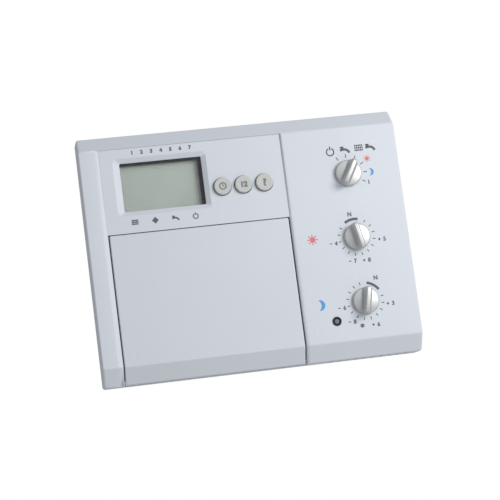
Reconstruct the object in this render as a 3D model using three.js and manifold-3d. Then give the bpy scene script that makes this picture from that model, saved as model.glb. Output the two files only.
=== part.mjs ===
// Wall thermostat: a control unit with a clock display, three selector knobs, three round buttons
// and a key bay behind a flap. The unit plugs onto a base that is screwed to the wall.
// Millimetres. +X is right and +Z is up as seen from the room, and the room is towards -Y.
// The origin is the middle of the wall base's back face.
import * as THREE from "three";
import { mergeVertices } from "three/addons/utils/BufferGeometryUtils.js";
import Module from "manifold-3d";

const wasm = await Module();
wasm.setup();

// ---------------------------------------------------------------- driving sizes

// casing
const WIDTH = 150;
const HEIGHT = 115.7;
const DEPTH = 24; // wall to the raised parts of the front
const WALL = 2; // thickness of the moulded cover
const CORNER_RADIUS = 1.2; // corners of the casing seen from the front
const TOP_BEVEL_RISE = 7;
const TOP_BEVEL_RUN = 6.3;
const BOTTOM_BEVEL_RISE = 8.1;
const BOTTOM_BEVEL_RUN = 5.9;
const STRIP_WIDTH = 9.5; // raised strip left of the middle field
const STRIP_CHAMFER = 1.2;
const PANEL_WIDTH = 55.4; // raised knob panel right of the middle field
const PANEL_ROUND = 1.8; // width of the rounded left edge of the knob panel
const FIELD_STEP = 0.8; // how far the middle field lies below strip and panel
const VENT_COUNT = 10;
const VENT_PITCH = 4;
const VENT_WIDTH = 1.6;
const VENT_LENGTH = 4.5;
const VENT_FROM_BACK = 5; // from the cover's back edge
const POST_RADIUS = 2.6;
const POST_FROM_SIDE = 6.9;
const POST_FROM_TOP = 13;
const POST_FROM_BOTTOM = 16;
const PILOT_RADIUS = 0.95;

// wall base
const BASE_BAND = 7; // visible height of the base's edge
const BASE_INSET = 0.7; // the base's edge lies this far inside the cover's
const BASE_FLOOR = 2;
const BASE_RIM = 2;
const LIP_HEIGHT = 3.5; // part of the base's rim that reaches into the cover
const LIP_WALL = 1.5;
const SNAP_LENGTH = 12;
const SNAP_FROM_SIDE = 35;
const SNAP_THICKNESS = 1.2;
const SNAP_REACH = 0.7;
const SCREW_SPACING = 60; // wall screws, the spacing of a round flush-mounting box
const SCREW_SLOT_WIDTH = 4.4;
const SCREW_SLOT_LENGTH = 9;
const CABLE_WINDOW_WIDTH = 28;
const CABLE_WINDOW_HEIGHT = 22;
const CABLE_WINDOW_BOTTOM = 13; // above the origin

// display
const GLASS_OPENING_WIDTH = 38;
const GLASS_OPENING_HEIGHT = 22.6;
const OPENING_FROM_FIELD = 9.1; // opening's left edge from the middle field's left edge
const OPENING_FROM_TOP = 6.9; // opening's upper edge from the upper bevel
const WINDOW_BEVEL = 2.2;
const WINDOW_BEVEL_DEPTH = 1.4;
const LENS_MARGIN = 2.4;
const LENS_THICKNESS = 1.2;
const GASKET_HEIGHT = 2.4;
const GASKET_COVERS_RIGHT = 1.5; // the gasket's opening is narrower than the window here
const GASKET_COVERS_TOP = 0.9;
const GASKET_BACK_OFF = 0.4; // and wider than the window at its left and lower edges
const CELL_WIDTH = 43;
const CELL_HEIGHT = 28;
const CELL_THICKNESS = 2.2;
const HOLDER_WALL = 1.2;

// push buttons
const BUTTON_COUNT = 3;
const BUTTON_DIAMETER = 7.8;
const BUTTON_PITCH = 9.9;
const BUTTON_FROM_FIELD = 9.9; // last button's axis from the middle field's right edge
const BUTTON_FROM_TOP = 22.4;
const BUTTON_PROUD = 1.8;
const BUTTON_DISH = 0.15; // how far the middle of the cap lies below its rim
const BUTTON_GAP = 0.4;
const BUTTON_FLANGE = 0.55; // how far the flange reaches past the hole's edge behind the cover
const FLANGE_THICKNESS = 0.8; // of buttons and keys
const BUTTON_TRAVEL = 1;

// selector knobs, angles clockwise from straight up
const KNOB_DIAMETER = 12.4;
const KNOB_SKIRT = 1.8;
const KNOB_CROWN = 2.6; // height of the skirt's middle
const KNOB_HEIGHT = 6.8;
const KNOB_BAR_WIDTH = 3.8;
const KNOB_BAR_TOP_WIDTH = 2.4;
const KNOB_FROM_RIGHT = 25.2;
const KNOB_FROM_TOP = 22.2;
const KNOB_PITCH = 30.35;
const KNOB_ANGLES = [30, -11.25, 11.25];
const KNOB_GAP = 0.3; // over the knob panel
const SHAFT_RADIUS = 2.4;
const SHAFT_CLEARANCE = 0.08;
const SHAFT_FIT = 0.05; // play of the knob's bore on its shaft
const SHAFT_UNDER_CROWN = 0.8; // the round part of the shaft ends this far under the crown
const TONGUE_UNDER_TOP = 1.6; // the tongue ends this far under the top of the finger bar
const TONGUE_WIDTH = 1.2; // flat end of the shaft that turns the knob
const SELECTOR_SIZE = 14;
const SELECTOR_HEIGHT = 8;
const COLLAR_RADIUS = 4.5; // the shaft's collar turns inside the housing
const COLLAR_ROOM = 3.8; // depth of the space for it

// flap
const FLAP_FROM_TOP = 39.7; // flap's upper edge from the upper bevel
const FLAP_THICKNESS = 1.8;
const FLAP_SIDE_GAP = 0.6;
const FLAP_TOP_GAP = 0.3;
const BARREL_RADIUS = 1.6;
const BARREL_LIFT = 0.15; // barrel over the casing's lower face
const BARREL_GAP = 0.35;
const PIN_RADIUS = 1;
const PIN_CLEARANCE = 0.15;
const CHEEK = 2; // walls left and right of the flap that carry its pins
const CATCH_WIDTH = 8;
const CATCH_THICKNESS = 1.2;
const CATCH_BELOW_TOP = 3; // from the field's lower edge
const CATCH_FROM_SIDE = 14;

// key bay behind the flap
const BAY_BEHIND_FLAP = 3;
const BAY_FLOOR = 1.8;
const BAY_GAP = 0.3;
const BAY_LIP_GAP = 1; // between the bay's lower lip and the flap's bevel
const BAY_ABOVE = 3; // how far the bay reaches up behind the field
const BAY_ROOF = 1.5;
const KEY_COLUMNS = 3;
const KEY_ROWS = 2;
const KEY_WIDTH = 11;
const KEY_HEIGHT = 7;
const KEY_PITCH_X = 22;
const KEY_PITCH_Z = 20;
const KEY_FIRST_ROW = 17; // below the flap's upper edge
const KEY_PROUD = 1.2;
const KEY_GAP = 0.3;
const KEY_CORNER = 1;
const KEY_FLANGE = 1; // how far the flange reaches past the cap
const STEM_RADIUS = 2.2; // of buttons and keys
const KEY_TRAVEL = 0.8;

// circuit board
const BOARD_THICKNESS = 1.6;
const BOARD_BEHIND_FRONT = 13; // front of the board from the casing's front
const BOARD_GAP = 2.5; // to the cover's side walls, which leaves room for the base's lip
const MAT_THICKNESS = 1.2;
const KEY_MAT_MARGIN = 7; // the mat reaches this far past the outer domes' axes
const BUTTON_MAT_MARGIN = 3.6;
const DOME_HEIGHT = 1.2;
const DOME_RADIUS = 2.6;
const REST_CLEARANCE = 0.3; // a pressed key stops this far over its dome

// indicator lamp
const LAMP_DIAMETER = 4.3;
const LAMP_FROM_RIGHT = 39.9;
const LAMP_FROM_TOP = 90.9;
const LAMP_LENS_RADIUS = 1.1;
const LAMP_PROUD = 0.25;
const LAMP_HEIGHT = 1.9; // of the lamp itself, on the board

const FIT = 0.3; // play between pieces that are pushed together
const FLANGE_PLAY = 0.1; // between the flange of a key or button and what holds it

// ---------------------------------------------------------------- places that follow from them

const LEFT = -WIDTH / 2;
const RIGHT = WIDTH / 2;
const TOP = HEIGHT / 2;
const BOTTOM = -HEIGHT / 2;
const FRONT = -DEPTH;
const COVER_BACK = -BASE_BAND;
const FACE_TOP = TOP - TOP_BEVEL_RISE;
const FACE_BOTTOM = BOTTOM + BOTTOM_BEVEL_RISE;
const FIELD_LEFT = LEFT + STRIP_WIDTH;
const FIELD_RIGHT = RIGHT - PANEL_WIDTH;
const FIELD = FRONT + FIELD_STEP; // front of the middle field
const FIELD_BACK = FIELD + WALL;
const PANEL_BACK = FRONT + WALL;
const BOARD_FRONT = FRONT + BOARD_BEHIND_FRONT;
const BOARD_BACK = BOARD_FRONT + BOARD_THICKNESS;
const MAT_FRONT = BOARD_FRONT - MAT_THICKNESS;
const DOME_TOP = MAT_FRONT - DOME_HEIGHT;

const OPENING = {
  left: FIELD_LEFT + OPENING_FROM_FIELD,
  right: FIELD_LEFT + OPENING_FROM_FIELD + GLASS_OPENING_WIDTH,
  top: FACE_TOP - OPENING_FROM_TOP,
  bottom: FACE_TOP - OPENING_FROM_TOP - GLASS_OPENING_HEIGHT,
};
const OPENING_X = (OPENING.left + OPENING.right) / 2;
const OPENING_Z = (OPENING.top + OPENING.bottom) / 2;
const LENS_BACK = FIELD_BACK + LENS_THICKNESS;
const CELL_FRONT = LENS_BACK + GASKET_HEIGHT;
const CELL_BACK = CELL_FRONT + CELL_THICKNESS;

const FLAP_TOP = FACE_TOP - FLAP_FROM_TOP;
const BEVEL_LENGTH = Math.hypot(BOTTOM_BEVEL_RUN, BOTTOM_BEVEL_RISE);
const BEVEL_OUT = [-BOTTOM_BEVEL_RISE / BEVEL_LENGTH, -BOTTOM_BEVEL_RUN / BEVEL_LENGTH]; // [y, z]
const BEVEL_UP = [-BOTTOM_BEVEL_RUN / BEVEL_LENGTH, BOTTOM_BEVEL_RISE / BEVEL_LENGTH];
const HINGE_Z = BOTTOM + BARREL_RADIUS + BARREL_LIFT;
const HINGE_Y =
  FIELD +
  (BARREL_RADIUS * BEVEL_LENGTH - BOTTOM_BEVEL_RUN * (HINGE_Z - FACE_BOTTOM)) / BOTTOM_BEVEL_RISE;
const CATCH_Z = FLAP_TOP - CATCH_BELOW_TOP;
const CATCH_XS = [FIELD_LEFT + CATCH_FROM_SIDE, FIELD_RIGHT - CATCH_FROM_SIDE];

const BAY_FRONT = FIELD + FLAP_THICKNESS + BAY_BEHIND_FLAP;
const BAY_BACK = BAY_FRONT + BAY_FLOOR;
const KEY_MIDDLE_X = (FIELD_LEFT + FIELD_RIGHT) / 2;
const KEY_PLACES = [];
for (let row = 0; row < KEY_ROWS; row++)
  for (let column = 0; column < KEY_COLUMNS; column++)
    KEY_PLACES.push({
      x: KEY_MIDDLE_X + (column - (KEY_COLUMNS - 1) / 2) * KEY_PITCH_X,
      z: FLAP_TOP - KEY_FIRST_ROW - row * KEY_PITCH_Z,
    });

const BUTTON_HOLE = BUTTON_DIAMETER / 2 + BUTTON_GAP; // radius
const BUTTON_Z = FACE_TOP - BUTTON_FROM_TOP;
const BUTTON_XS = [];
for (let i = 0; i < BUTTON_COUNT; i++)
  BUTTON_XS.push(FIELD_RIGHT - BUTTON_FROM_FIELD - (BUTTON_COUNT - 1 - i) * BUTTON_PITCH);

const KNOB_X = RIGHT - KNOB_FROM_RIGHT;
const KNOB_ZS = KNOB_ANGLES.map((_, i) => FACE_TOP - KNOB_FROM_TOP - i * KNOB_PITCH);
const KNOB_BACK = FRONT - KNOB_GAP;
const SHAFT_FRONT = KNOB_BACK - KNOB_CROWN + SHAFT_UNDER_CROWN;
const TONGUE_FRONT = KNOB_BACK - KNOB_HEIGHT + TONGUE_UNDER_TOP;

const LAMP_X = RIGHT - LAMP_FROM_RIGHT;
const LAMP_Z = FACE_TOP - LAMP_FROM_TOP;

const POSTS = [
  [LEFT + POST_FROM_SIDE, TOP - POST_FROM_TOP],
  [LEFT + POST_FROM_SIDE, BOTTOM + POST_FROM_BOTTOM],
  [RIGHT - POST_FROM_SIDE, TOP - POST_FROM_TOP],
  [RIGHT - POST_FROM_SIDE, BOTTOM + POST_FROM_BOTTOM],
];

// ---------------------------------------------------------------- finishes

const finish = (color, roughness, metalness = 0) =>
  new THREE.MeshStandardMaterial({ color, roughness, metalness });
const coverGrey = finish(0xd3dae1, 0.55);
const baseGrey = finish(0xc4cbd2, 0.6);
const flapGrey = finish(0xcfd7dd, 0.55);
const bayGrey = finish(0xb4bcc2, 0.65);
const buttonGrey = finish(0xb9bab8, 0.6);
const keyGrey = finish(0x8f979d, 0.6);
const satinSilver = finish(0xb8bcbd, 0.35, 0.6);
const clearAcrylic = finish(0xdfe6e4, 0.1);
const cellGrey = finish(0xa7aea2, 0.3);
const blackRubber = finish(0x232426, 0.8);
const siliconeGrey = finish(0x6f7478, 0.7);
const boardGreen = finish(0x2f6b43, 0.5);
const chipBlack = finish(0x26282a, 0.6);
const steel = finish(0xb9bcc0, 0.35, 1);
const brass = finish(0xc7a24f, 0.35, 1);
const nylonWhite = finish(0xe6e4dc, 0.6);
const terminalGrey = finish(0x8a9096, 0.6);
const smoke = finish(0x4a4c4e, 0.2);

// ---------------------------------------------------------------- solids

const Y_TO_X = new THREE.Matrix4().set(0, 0, 1, 0, 1, 0, 0, 0, 0, 1, 0, 0, 0, 0, 0, 1);
const Z_TO_MINUS_Y = new THREE.Matrix4().set(1, 0, 0, 0, 0, 0, -1, 0, 0, 1, 0, 0, 0, 0, 0, 1);

// A closed three.js geometry as a solid that can be joined and cut.
function solid(geometry) {
  geometry.deleteAttribute("normal");
  geometry.deleteAttribute("uv");
  const merged = mergeVertices(geometry, 1e-4);
  return new wasm.Manifold(
    new wasm.Mesh({
      numProp: 3,
      vertProperties: merged.attributes.position.array,
      triVerts: new Uint32Array(merged.index.array),
    }),
  );
}

const join = (...pieces) => pieces.reduce((a, b) => a.add(b));
const cut = (piece, ...cutters) => cutters.reduce((a, b) => a.subtract(b), piece);

function block(x0, x1, y0, y1, z0, z1) {
  const box = new THREE.BoxGeometry(x1 - x0, y1 - y0, z1 - z0);
  return solid(box.translate((x0 + x1) / 2, (y0 + y1) / 2, (z0 + z1) / 2));
}

// A block given by its middle in X and Z, its size, and its two depths.
const pad = (x, z, width, height, y0, y1) =>
  block(x - width / 2, x + width / 2, y0, y1, z - height / 2, z + height / 2);

// A round bar along Y; the radius may differ at its two ends.
function bar(x, z, y0, y1, r0, r1 = r0, sides = 24) {
  return solid(new THREE.CylinderGeometry(r1, r0, y1 - y0, sides).translate(x, (y0 + y1) / 2, z));
}

function barAlongX(x0, x1, y, z, radius, sides = 20) {
  const rod = new THREE.CylinderGeometry(radius, radius, x1 - x0, sides).rotateZ(Math.PI / 2);
  return solid(rod.translate((x0 + x1) / 2, y, z));
}

// Turned about the Y axis from [radius, y] points listed from the room towards the wall.
function turned(points, sides = 32) {
  const outline = points.map(([r, y]) => new THREE.Vector2(r, y));
  return solid(new THREE.LatheGeometry(outline, sides));
}

const extrude = (shape, depth, curveSegments = 3) =>
  new THREE.ExtrudeGeometry(shape, { depth, bevelEnabled: false, curveSegments });

const shapeOf = (points) => new THREE.Shape(points.map(([a, b]) => new THREE.Vector2(a, b)));

// A [y, z] outline carried along X.
const alongX = (points, x0, x1) =>
  solid(extrude(shapeOf(points), x1 - x0).applyMatrix4(Y_TO_X).translate(x0, 0, 0));

// A shape in X and Z carried along Y.
const alongY = (shape, y0, y1, segments) =>
  solid(extrude(shape, y1 - y0, segments).applyMatrix4(Z_TO_MINUS_Y).translate(0, y1, 0));

// An [x, y] outline carried along Z.
const alongZ = (points, z0, z1) => extrude(shapeOf(points), z1 - z0).translate(0, 0, z0);

function roundedRect(x0, x1, z0, z1, r) {
  const shape = new THREE.Shape();
  shape.absarc(x1 - r, z1 - r, r, 0, Math.PI / 2);
  shape.absarc(x0 + r, z1 - r, r, Math.PI / 2, Math.PI);
  shape.absarc(x0 + r, z0 + r, r, Math.PI, 1.5 * Math.PI);
  shape.absarc(x1 - r, z0 + r, r, 1.5 * Math.PI, 2 * Math.PI);
  return shape;
}

// A convex outline, counter-clockwise, with each side moved inwards by its own distance.
function inset(points, distances) {
  const sides = points.map(([x, y], i) => {
    const [nx, ny] = points[(i + 1) % points.length];
    const length = Math.hypot(nx - x, ny - y);
    const dir = [(nx - x) / length, (ny - y) / length];
    return { at: [x - dir[1] * distances[i], y + dir[0] * distances[i]], dir };
  });
  return sides.map((side, i) => {
    const last = sides[(i + sides.length - 1) % sides.length];
    const dx = side.at[0] - last.at[0];
    const dy = side.at[1] - last.at[1];
    const t =
      (dx * side.dir[1] - dy * side.dir[0]) /
      (last.dir[0] * side.dir[1] - last.dir[1] * side.dir[0]);
    return [last.at[0] + t * last.dir[0], last.at[1] + t * last.dir[1]];
  });
}

const thermostat = new THREE.Group();

// Adds a solid to the scene as one named piece.
function piece(name, body, material, parent = thermostat) {
  const { numProp, vertProperties, triVerts } = body.getMesh();
  const places = new Float32Array((vertProperties.length / numProp) * 3);
  for (let i = 0; i < places.length / 3; i++)
    places.set(vertProperties.subarray(i * numProp, i * numProp + 3), i * 3);
  const geometry = new THREE.BufferGeometry();
  geometry.setAttribute("position", new THREE.BufferAttribute(places, 3));
  geometry.setIndex(new THREE.BufferAttribute(triVerts, 1));
  geometry.computeVertexNormals();
  const mesh = new THREE.Mesh(geometry, material);
  mesh.name = name;
  parent.add(mesh);
  return mesh;
}

// ---------------------------------------------------------------- casing

// Side view of the casing in [y, z], counter-clockwise from the lower back corner.
const CASING_OUTLINE = [
  [FRONT + BOTTOM_BEVEL_RUN, BOTTOM],
  [COVER_BACK, BOTTOM],
  [COVER_BACK, TOP],
  [FRONT + TOP_BEVEL_RUN, TOP],
  [FRONT, FACE_TOP],
  [FRONT, FACE_BOTTOM],
];

// What is taken off in front of the middle field: chamfered at the strip, rounded at the panel.
function fieldRecess() {
  const outline = [
    [FIELD_RIGHT + PANEL_ROUND, FRONT - 1],
    [FIELD_LEFT - STRIP_CHAMFER, FRONT - 1],
    [FIELD_LEFT - STRIP_CHAMFER, FRONT],
    [FIELD_LEFT, FIELD],
  ];
  const steps = 6;
  for (let i = 0; i <= steps; i++) {
    const angle = (i / steps) * (Math.PI / 2);
    outline.push([
      FIELD_RIGHT + PANEL_ROUND * (1 - Math.cos(angle)),
      FIELD - FIELD_STEP * Math.sin(angle),
    ]);
  }
  const upper = solid(alongZ(outline, FACE_BOTTOM, FACE_TOP));
  const slope = BOTTOM_BEVEL_RUN / BOTTOM_BEVEL_RISE;
  const lean = new THREE.Matrix4().makeShear(0, 0, 0, 0, 0, -slope).setPosition(0, slope * FACE_BOTTOM, 0);
  const lower = solid(alongZ(outline, BOTTOM - 2, FACE_BOTTOM).applyMatrix4(lean));
  return join(upper, lower);
}

// A row of air slots over and under the room sensor.
function ventSlots(z0, z1) {
  const y1 = COVER_BACK - VENT_FROM_BACK;
  const slots = [];
  for (let i = 0; i < VENT_COUNT; i++) {
    const x = KNOB_X + (i - (VENT_COUNT - 1) / 2) * VENT_PITCH;
    slots.push(block(x - VENT_WIDTH / 2, x + VENT_WIDTH / 2, y1 - VENT_LENGTH, y1, z0, z1));
  }
  return slots;
}

function frontCover() {
  const outline = roundedRect(LEFT, RIGHT, BOTTOM, TOP, CORNER_RADIUS);
  const outside = alongX(CASING_OUTLINE, LEFT, RIGHT).intersect(
    alongY(outline, FRONT - 1, COVER_BACK + 1, 6),
  );
  const hollow = alongX(
    inset(CASING_OUTLINE, [WALL, -1, WALL, WALL, WALL, WALL]),
    LEFT + WALL,
    RIGHT - WALL,
  );
  const fieldPlate = block(
    FIELD_LEFT - CHEEK,
    FIELD_RIGHT + CHEEK,
    FIELD,
    FIELD_BACK,
    FLAP_TOP,
    FACE_TOP,
  );
  const cheekBack = COVER_BACK - BOARD_FRONT + 1; // the cheeks stop 1 mm short of the board
  const cheekOutline = inset(CASING_OUTLINE, [0, cheekBack, 0, 0, 0, 0]);
  const cheeks = [FIELD_LEFT - CHEEK, FIELD_RIGHT].map((x) =>
    alongX(cheekOutline, x, x + CHEEK).intersect(
      block(x, x + CHEEK, FRONT, 0, BOTTOM, FLAP_TOP + 1),
    ),
  );
  const posts = POSTS.map(([x, z]) => bar(x, z, PANEL_BACK - 0.5, BOARD_FRONT, POST_RADIUS));
  const cover = join(cut(outside, hollow), fieldPlate, ...cheeks, ...posts);

  const flapWay = block(
    FIELD_LEFT,
    FIELD_RIGHT,
    FRONT - 1,
    HINGE_Y + BARREL_RADIUS + BARREL_GAP,
    BOTTOM - 1,
    FLAP_TOP,
  );
  const windowShape = roundedRect(OPENING.left, OPENING.right, OPENING.bottom, OPENING.top, 0.6);
  const buttonHoles = BUTTON_XS.map((x) =>
    bar(x, BUTTON_Z, FRONT - 1, BOARD_FRONT, BUTTON_HOLE, BUTTON_HOLE, 32),
  );
  const shaftHoles = KNOB_ZS.map((z) => bar(KNOB_X, z, FRONT - 1, BOARD_FRONT, SHAFT_RADIUS + 0.6));
  const lampHole = bar(LAMP_X, LAMP_Z, FRONT - 1, BOARD_FRONT, LAMP_DIAMETER / 2 + 0.05);
  const pilots = POSTS.map(([x, z]) =>
    bar(x, z, PANEL_BACK, BOARD_FRONT + 1, PILOT_RADIUS, PILOT_RADIUS, 12),
  );
  const pinHoles = barAlongX(
    FIELD_LEFT - CHEEK - 1,
    FIELD_RIGHT + CHEEK + 1,
    HINGE_Y,
    HINGE_Z,
    PIN_RADIUS + PIN_CLEARANCE,
  );
  return cut(
    cover,
    fieldRecess(),
    flapWay,
    alongY(windowShape, FIELD - 1, FIELD_BACK + 1),
    bevelledHole(),
    ...buttonHoles,
    ...shaftHoles,
    lampHole,
    ...pilots,
    pinHoles,
    ...snapPockets(),
    ...ventSlots(TOP - WALL - 1, TOP + 1),
    ...ventSlots(BOTTOM - 1, BOTTOM + WALL + 1),
  );
}

// The sloping frame round the display: a pyramid's stump from the field down to the opening.
function bevelledHole() {
  const rim = WINDOW_BEVEL;
  const frame = new THREE.CylinderGeometry(
    Math.SQRT1_2,
    Math.SQRT1_2 * (1 + 1e-6),
    1,
    4,
    1,
  ).rotateY(Math.PI / 4);
  const p = frame.attributes.position;
  for (let i = 0; i < p.count; i++) {
    const deep = p.getY(i) > 0;
    const grow = deep ? 0 : rim * (1 + 0.5 / WINDOW_BEVEL_DEPTH);
    p.setXYZ(
      i,
      OPENING_X + p.getX(i) * (GLASS_OPENING_WIDTH + 2 * grow),
      deep ? FIELD + WINDOW_BEVEL_DEPTH : FIELD - 0.5,
      OPENING_Z + p.getZ(i) * (GLASS_OPENING_HEIGHT + 2 * grow),
    );
  }
  return solid(frame);
}

// ---------------------------------------------------------------- wall base

const LIP_OUT = WALL + FIT; // lip's outer face from the casing's outer face
const SNAP_XS = [LEFT + SNAP_FROM_SIDE, RIGHT - SNAP_FROM_SIDE];
const SNAP_FRONT = COVER_BACK - LIP_HEIGHT + SNAP_REACH;
const SNAP_BACK = SNAP_FRONT + SNAP_THICKNESS;

function snaps(grow) {
  const bumps = [];
  for (const x of SNAP_XS)
    for (const side of [-1, 1]) {
      const middle = side * (HEIGHT / 2 - LIP_OUT);
      const reach = 2 * (SNAP_REACH + grow);
      const length = SNAP_LENGTH + 2 * grow;
      bumps.push(pad(x, middle, length, reach, SNAP_FRONT - grow, SNAP_BACK + grow));
    }
  return bumps;
}

const snapPockets = () => snaps(FIT);

function wallBase() {
  const edge = BASE_INSET;
  const outline = roundedRect(LEFT + edge, RIGHT - edge, BOTTOM + edge, TOP - edge, CORNER_RADIUS);
  // a block that lies this far inside the casing's outline all round
  const inside = (by, y0, y1) => pad(0, 0, WIDTH - 2 * by, HEIGHT - 2 * by, y0, y1);
  const shell = cut(
    alongY(outline, COVER_BACK, 0),
    inside(edge + BASE_RIM, COVER_BACK - 1, -BASE_FLOOR),
  );
  const lip = cut(
    inside(LIP_OUT, COVER_BACK - LIP_HEIGHT, -BASE_FLOOR),
    inside(LIP_OUT + LIP_WALL, COVER_BACK - LIP_HEIGHT - 1, 1),
  );
  const slots = [-1, 1].map((side) => {
    const x = (side * SCREW_SPACING) / 2;
    const r = SCREW_SLOT_WIDTH / 2;
    const half = SCREW_SLOT_LENGTH / 2;
    return alongY(roundedRect(x - r, x + r, -half, half, r - 0.01), -BASE_FLOOR - 1, 1);
  });
  const cableWindow = alongY(
    roundedRect(
      -CABLE_WINDOW_WIDTH / 2,
      CABLE_WINDOW_WIDTH / 2,
      CABLE_WINDOW_BOTTOM,
      CABLE_WINDOW_BOTTOM + CABLE_WINDOW_HEIGHT,
      2,
    ),
    -BASE_FLOOR - 1,
    1,
  );
  return cut(join(shell, lip, ...snaps(0)), ...slots, cableWindow);
}

// Terminal strip for the bus cable, with its clamping screws sunk in the top.
const TERMINAL_POLES = 4;
const TERMINAL_PITCH = 6;
const TERMINAL_Z = -16;
const TERMINAL_HEIGHT = 6.7;
const TERMINAL_DEPTH = 10;
const TERMINAL_MOUTH = 3.4; // square mouth for one core of the cable
const TERMINAL_SCREW_RADIUS = 1.7;
const TERMINAL_SCREW_LENGTH = 3;
const TERMINAL_SCREW_Z = TERMINAL_Z - 1.5;
const TERMINAL_WELL_END = -BASE_FLOOR - 3;
const TERMINAL_XS = Array.from(
  { length: TERMINAL_POLES },
  (_, i) => (i - (TERMINAL_POLES - 1) / 2) * TERMINAL_PITCH,
);

function terminalBlock() {
  const back = -BASE_FLOOR;
  const front = back - TERMINAL_HEIGHT;
  const width = TERMINAL_POLES * TERMINAL_PITCH + 2;
  const body = pad(0, TERMINAL_Z, width, TERMINAL_DEPTH, front, back);
  const well = TERMINAL_SCREW_RADIUS + 0.2;
  const wells = TERMINAL_XS.map((x) =>
    bar(x, TERMINAL_SCREW_Z, front - 1, TERMINAL_WELL_END, well, well, 16),
  );
  const mouthBack = back - 1.8;
  const mouthZ = TERMINAL_Z + 3.5;
  const mouths = TERMINAL_XS.map((x) =>
    pad(x, mouthZ, TERMINAL_MOUTH, 6, mouthBack - TERMINAL_MOUTH, mouthBack),
  );
  return cut(body, ...wells, ...mouths);
}

function terminalScrew(x) {
  const r = TERMINAL_SCREW_RADIUS;
  const front = TERMINAL_WELL_END - TERMINAL_SCREW_LENGTH;
  return cut(
    bar(x, TERMINAL_SCREW_Z, front, TERMINAL_WELL_END, r, r, 16),
    pad(x, TERMINAL_SCREW_Z, 4, 0.7, front - 1, front + 0.9),
  );
}

// Plug connection between the board and the wall base.
const PLUG_X = 24;
const PLUG_Z = -40;
const PLUG_PINS = 6;
const PLUG_PITCH = 2.54;
const PIN_SIZE = 0.7;
const SOCKET_HEIGHT = 4.4;
const SOCKET_FRONT = -BASE_FLOOR - SOCKET_HEIGHT;

function baseSocket() {
  const width = PLUG_PINS * PLUG_PITCH + 4;
  return cut(
    pad(PLUG_X, PLUG_Z, width, 6.5, SOCKET_FRONT, -BASE_FLOOR),
    pad(PLUG_X, PLUG_Z, width - 3, 1.8, SOCKET_FRONT - 1, SOCKET_FRONT + 4),
  );
}

function boardHeader() {
  const width = PLUG_PINS * PLUG_PITCH;
  const pins = Array.from({ length: PLUG_PINS }, (_, i) => {
    const x = PLUG_X + (i - (PLUG_PINS - 1) / 2) * PLUG_PITCH;
    return pad(x, PLUG_Z, PIN_SIZE, PIN_SIZE, BOARD_BACK + 2, SOCKET_FRONT + 3.5);
  });
  return join(pad(PLUG_X, PLUG_Z, width, 2.5, BOARD_BACK, BOARD_BACK + 2.5), ...pins);
}

// ---------------------------------------------------------------- flap and key bay

// The [y, z] point this far out of the lower bevel and this far up along it from the hinge's axis.
const fromHinge = (out, up) => [
  HINGE_Y + out * BEVEL_OUT[0] + up * BEVEL_UP[0],
  HINGE_Z + out * BEVEL_OUT[1] + up * BEVEL_UP[1],
];

function flap() {
  const x0 = FIELD_LEFT + FLAP_SIDE_GAP;
  const x1 = FIELD_RIGHT - FLAP_SIDE_GAP;
  const kneeLift = (FLAP_THICKNESS * (BEVEL_LENGTH - BOTTOM_BEVEL_RISE)) / BOTTOM_BEVEL_RUN;
  const side = [
    [FIELD, FLAP_TOP - FLAP_TOP_GAP],
    [FIELD, FACE_BOTTOM],
    fromHinge(BARREL_RADIUS, 0),
    fromHinge(BARREL_RADIUS - FLAP_THICKNESS, 0),
    [FIELD + FLAP_THICKNESS, FACE_BOTTOM + kneeLift],
    [FIELD + FLAP_THICKNESS, FLAP_TOP - FLAP_TOP_GAP],
  ];
  const catches = CATCH_XS.map((x) =>
    pad(x, CATCH_Z, CATCH_WIDTH, CATCH_THICKNESS, FIELD + FLAP_THICKNESS - 0.2, BAY_BACK - 0.4),
  );
  return join(
    alongX(side, x0, x1),
    barAlongX(x0, x1, HINGE_Y, HINGE_Z, BARREL_RADIUS),
    barAlongX(FIELD_LEFT - CHEEK + 0.3, FIELD_RIGHT + CHEEK - 0.3, HINGE_Y, HINGE_Z, PIN_RADIUS, 16),
    ...catches,
  );
}

function keyBay() {
  const x0 = FIELD_LEFT + BAY_GAP;
  const x1 = FIELD_RIGHT - BAY_GAP;
  const roofTop = FLAP_TOP + BAY_ABOVE;
  // the floor ends in a lip that slopes back behind the flap's bevel and stops short of its barrel
  const lipOut = BARREL_RADIUS - FLAP_THICKNESS - BAY_LIP_GAP;
  const lipFront = fromHinge(lipOut, BARREL_RADIUS + FIT);
  const lipBack = fromHinge(lipOut - BAY_FLOOR, BARREL_RADIUS + FIT);
  const meets = ([y, z], depth) => [depth, z + ((depth - y) * BEVEL_UP[1]) / BEVEL_UP[0]];
  const floorSide = [
    [BAY_FRONT, roofTop],
    meets(lipFront, BAY_FRONT),
    lipFront,
    lipBack,
    meets(lipBack, BAY_BACK),
    [BAY_BACK, roofTop],
  ];
  const floor = alongX(floorSide, x0, x1);
  const roof = block(x0, x1, FIELD_BACK, BAY_FRONT, roofTop - BAY_ROOF, roofTop);
  const slotWidth = CATCH_WIDTH + 2 * FIT;
  const slotHeight = CATCH_THICKNESS + 4 * FIT;
  const catchSlots = CATCH_XS.map((x) =>
    pad(x, CATCH_Z, slotWidth, slotHeight, BAY_FRONT - 1, BAY_BACK + 1),
  );
  const keyHoles = KEY_PLACES.map(({ x, z }) => {
    const w = KEY_WIDTH / 2 + KEY_GAP;
    const h = KEY_HEIGHT / 2 + KEY_GAP;
    const outline = roundedRect(x - w, x + w, z - h, z + h, KEY_CORNER + KEY_GAP);
    return alongY(outline, BAY_FRONT - 1, BAY_BACK + 1);
  });
  return cut(join(floor, roof), ...catchSlots, ...keyHoles);
}

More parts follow.
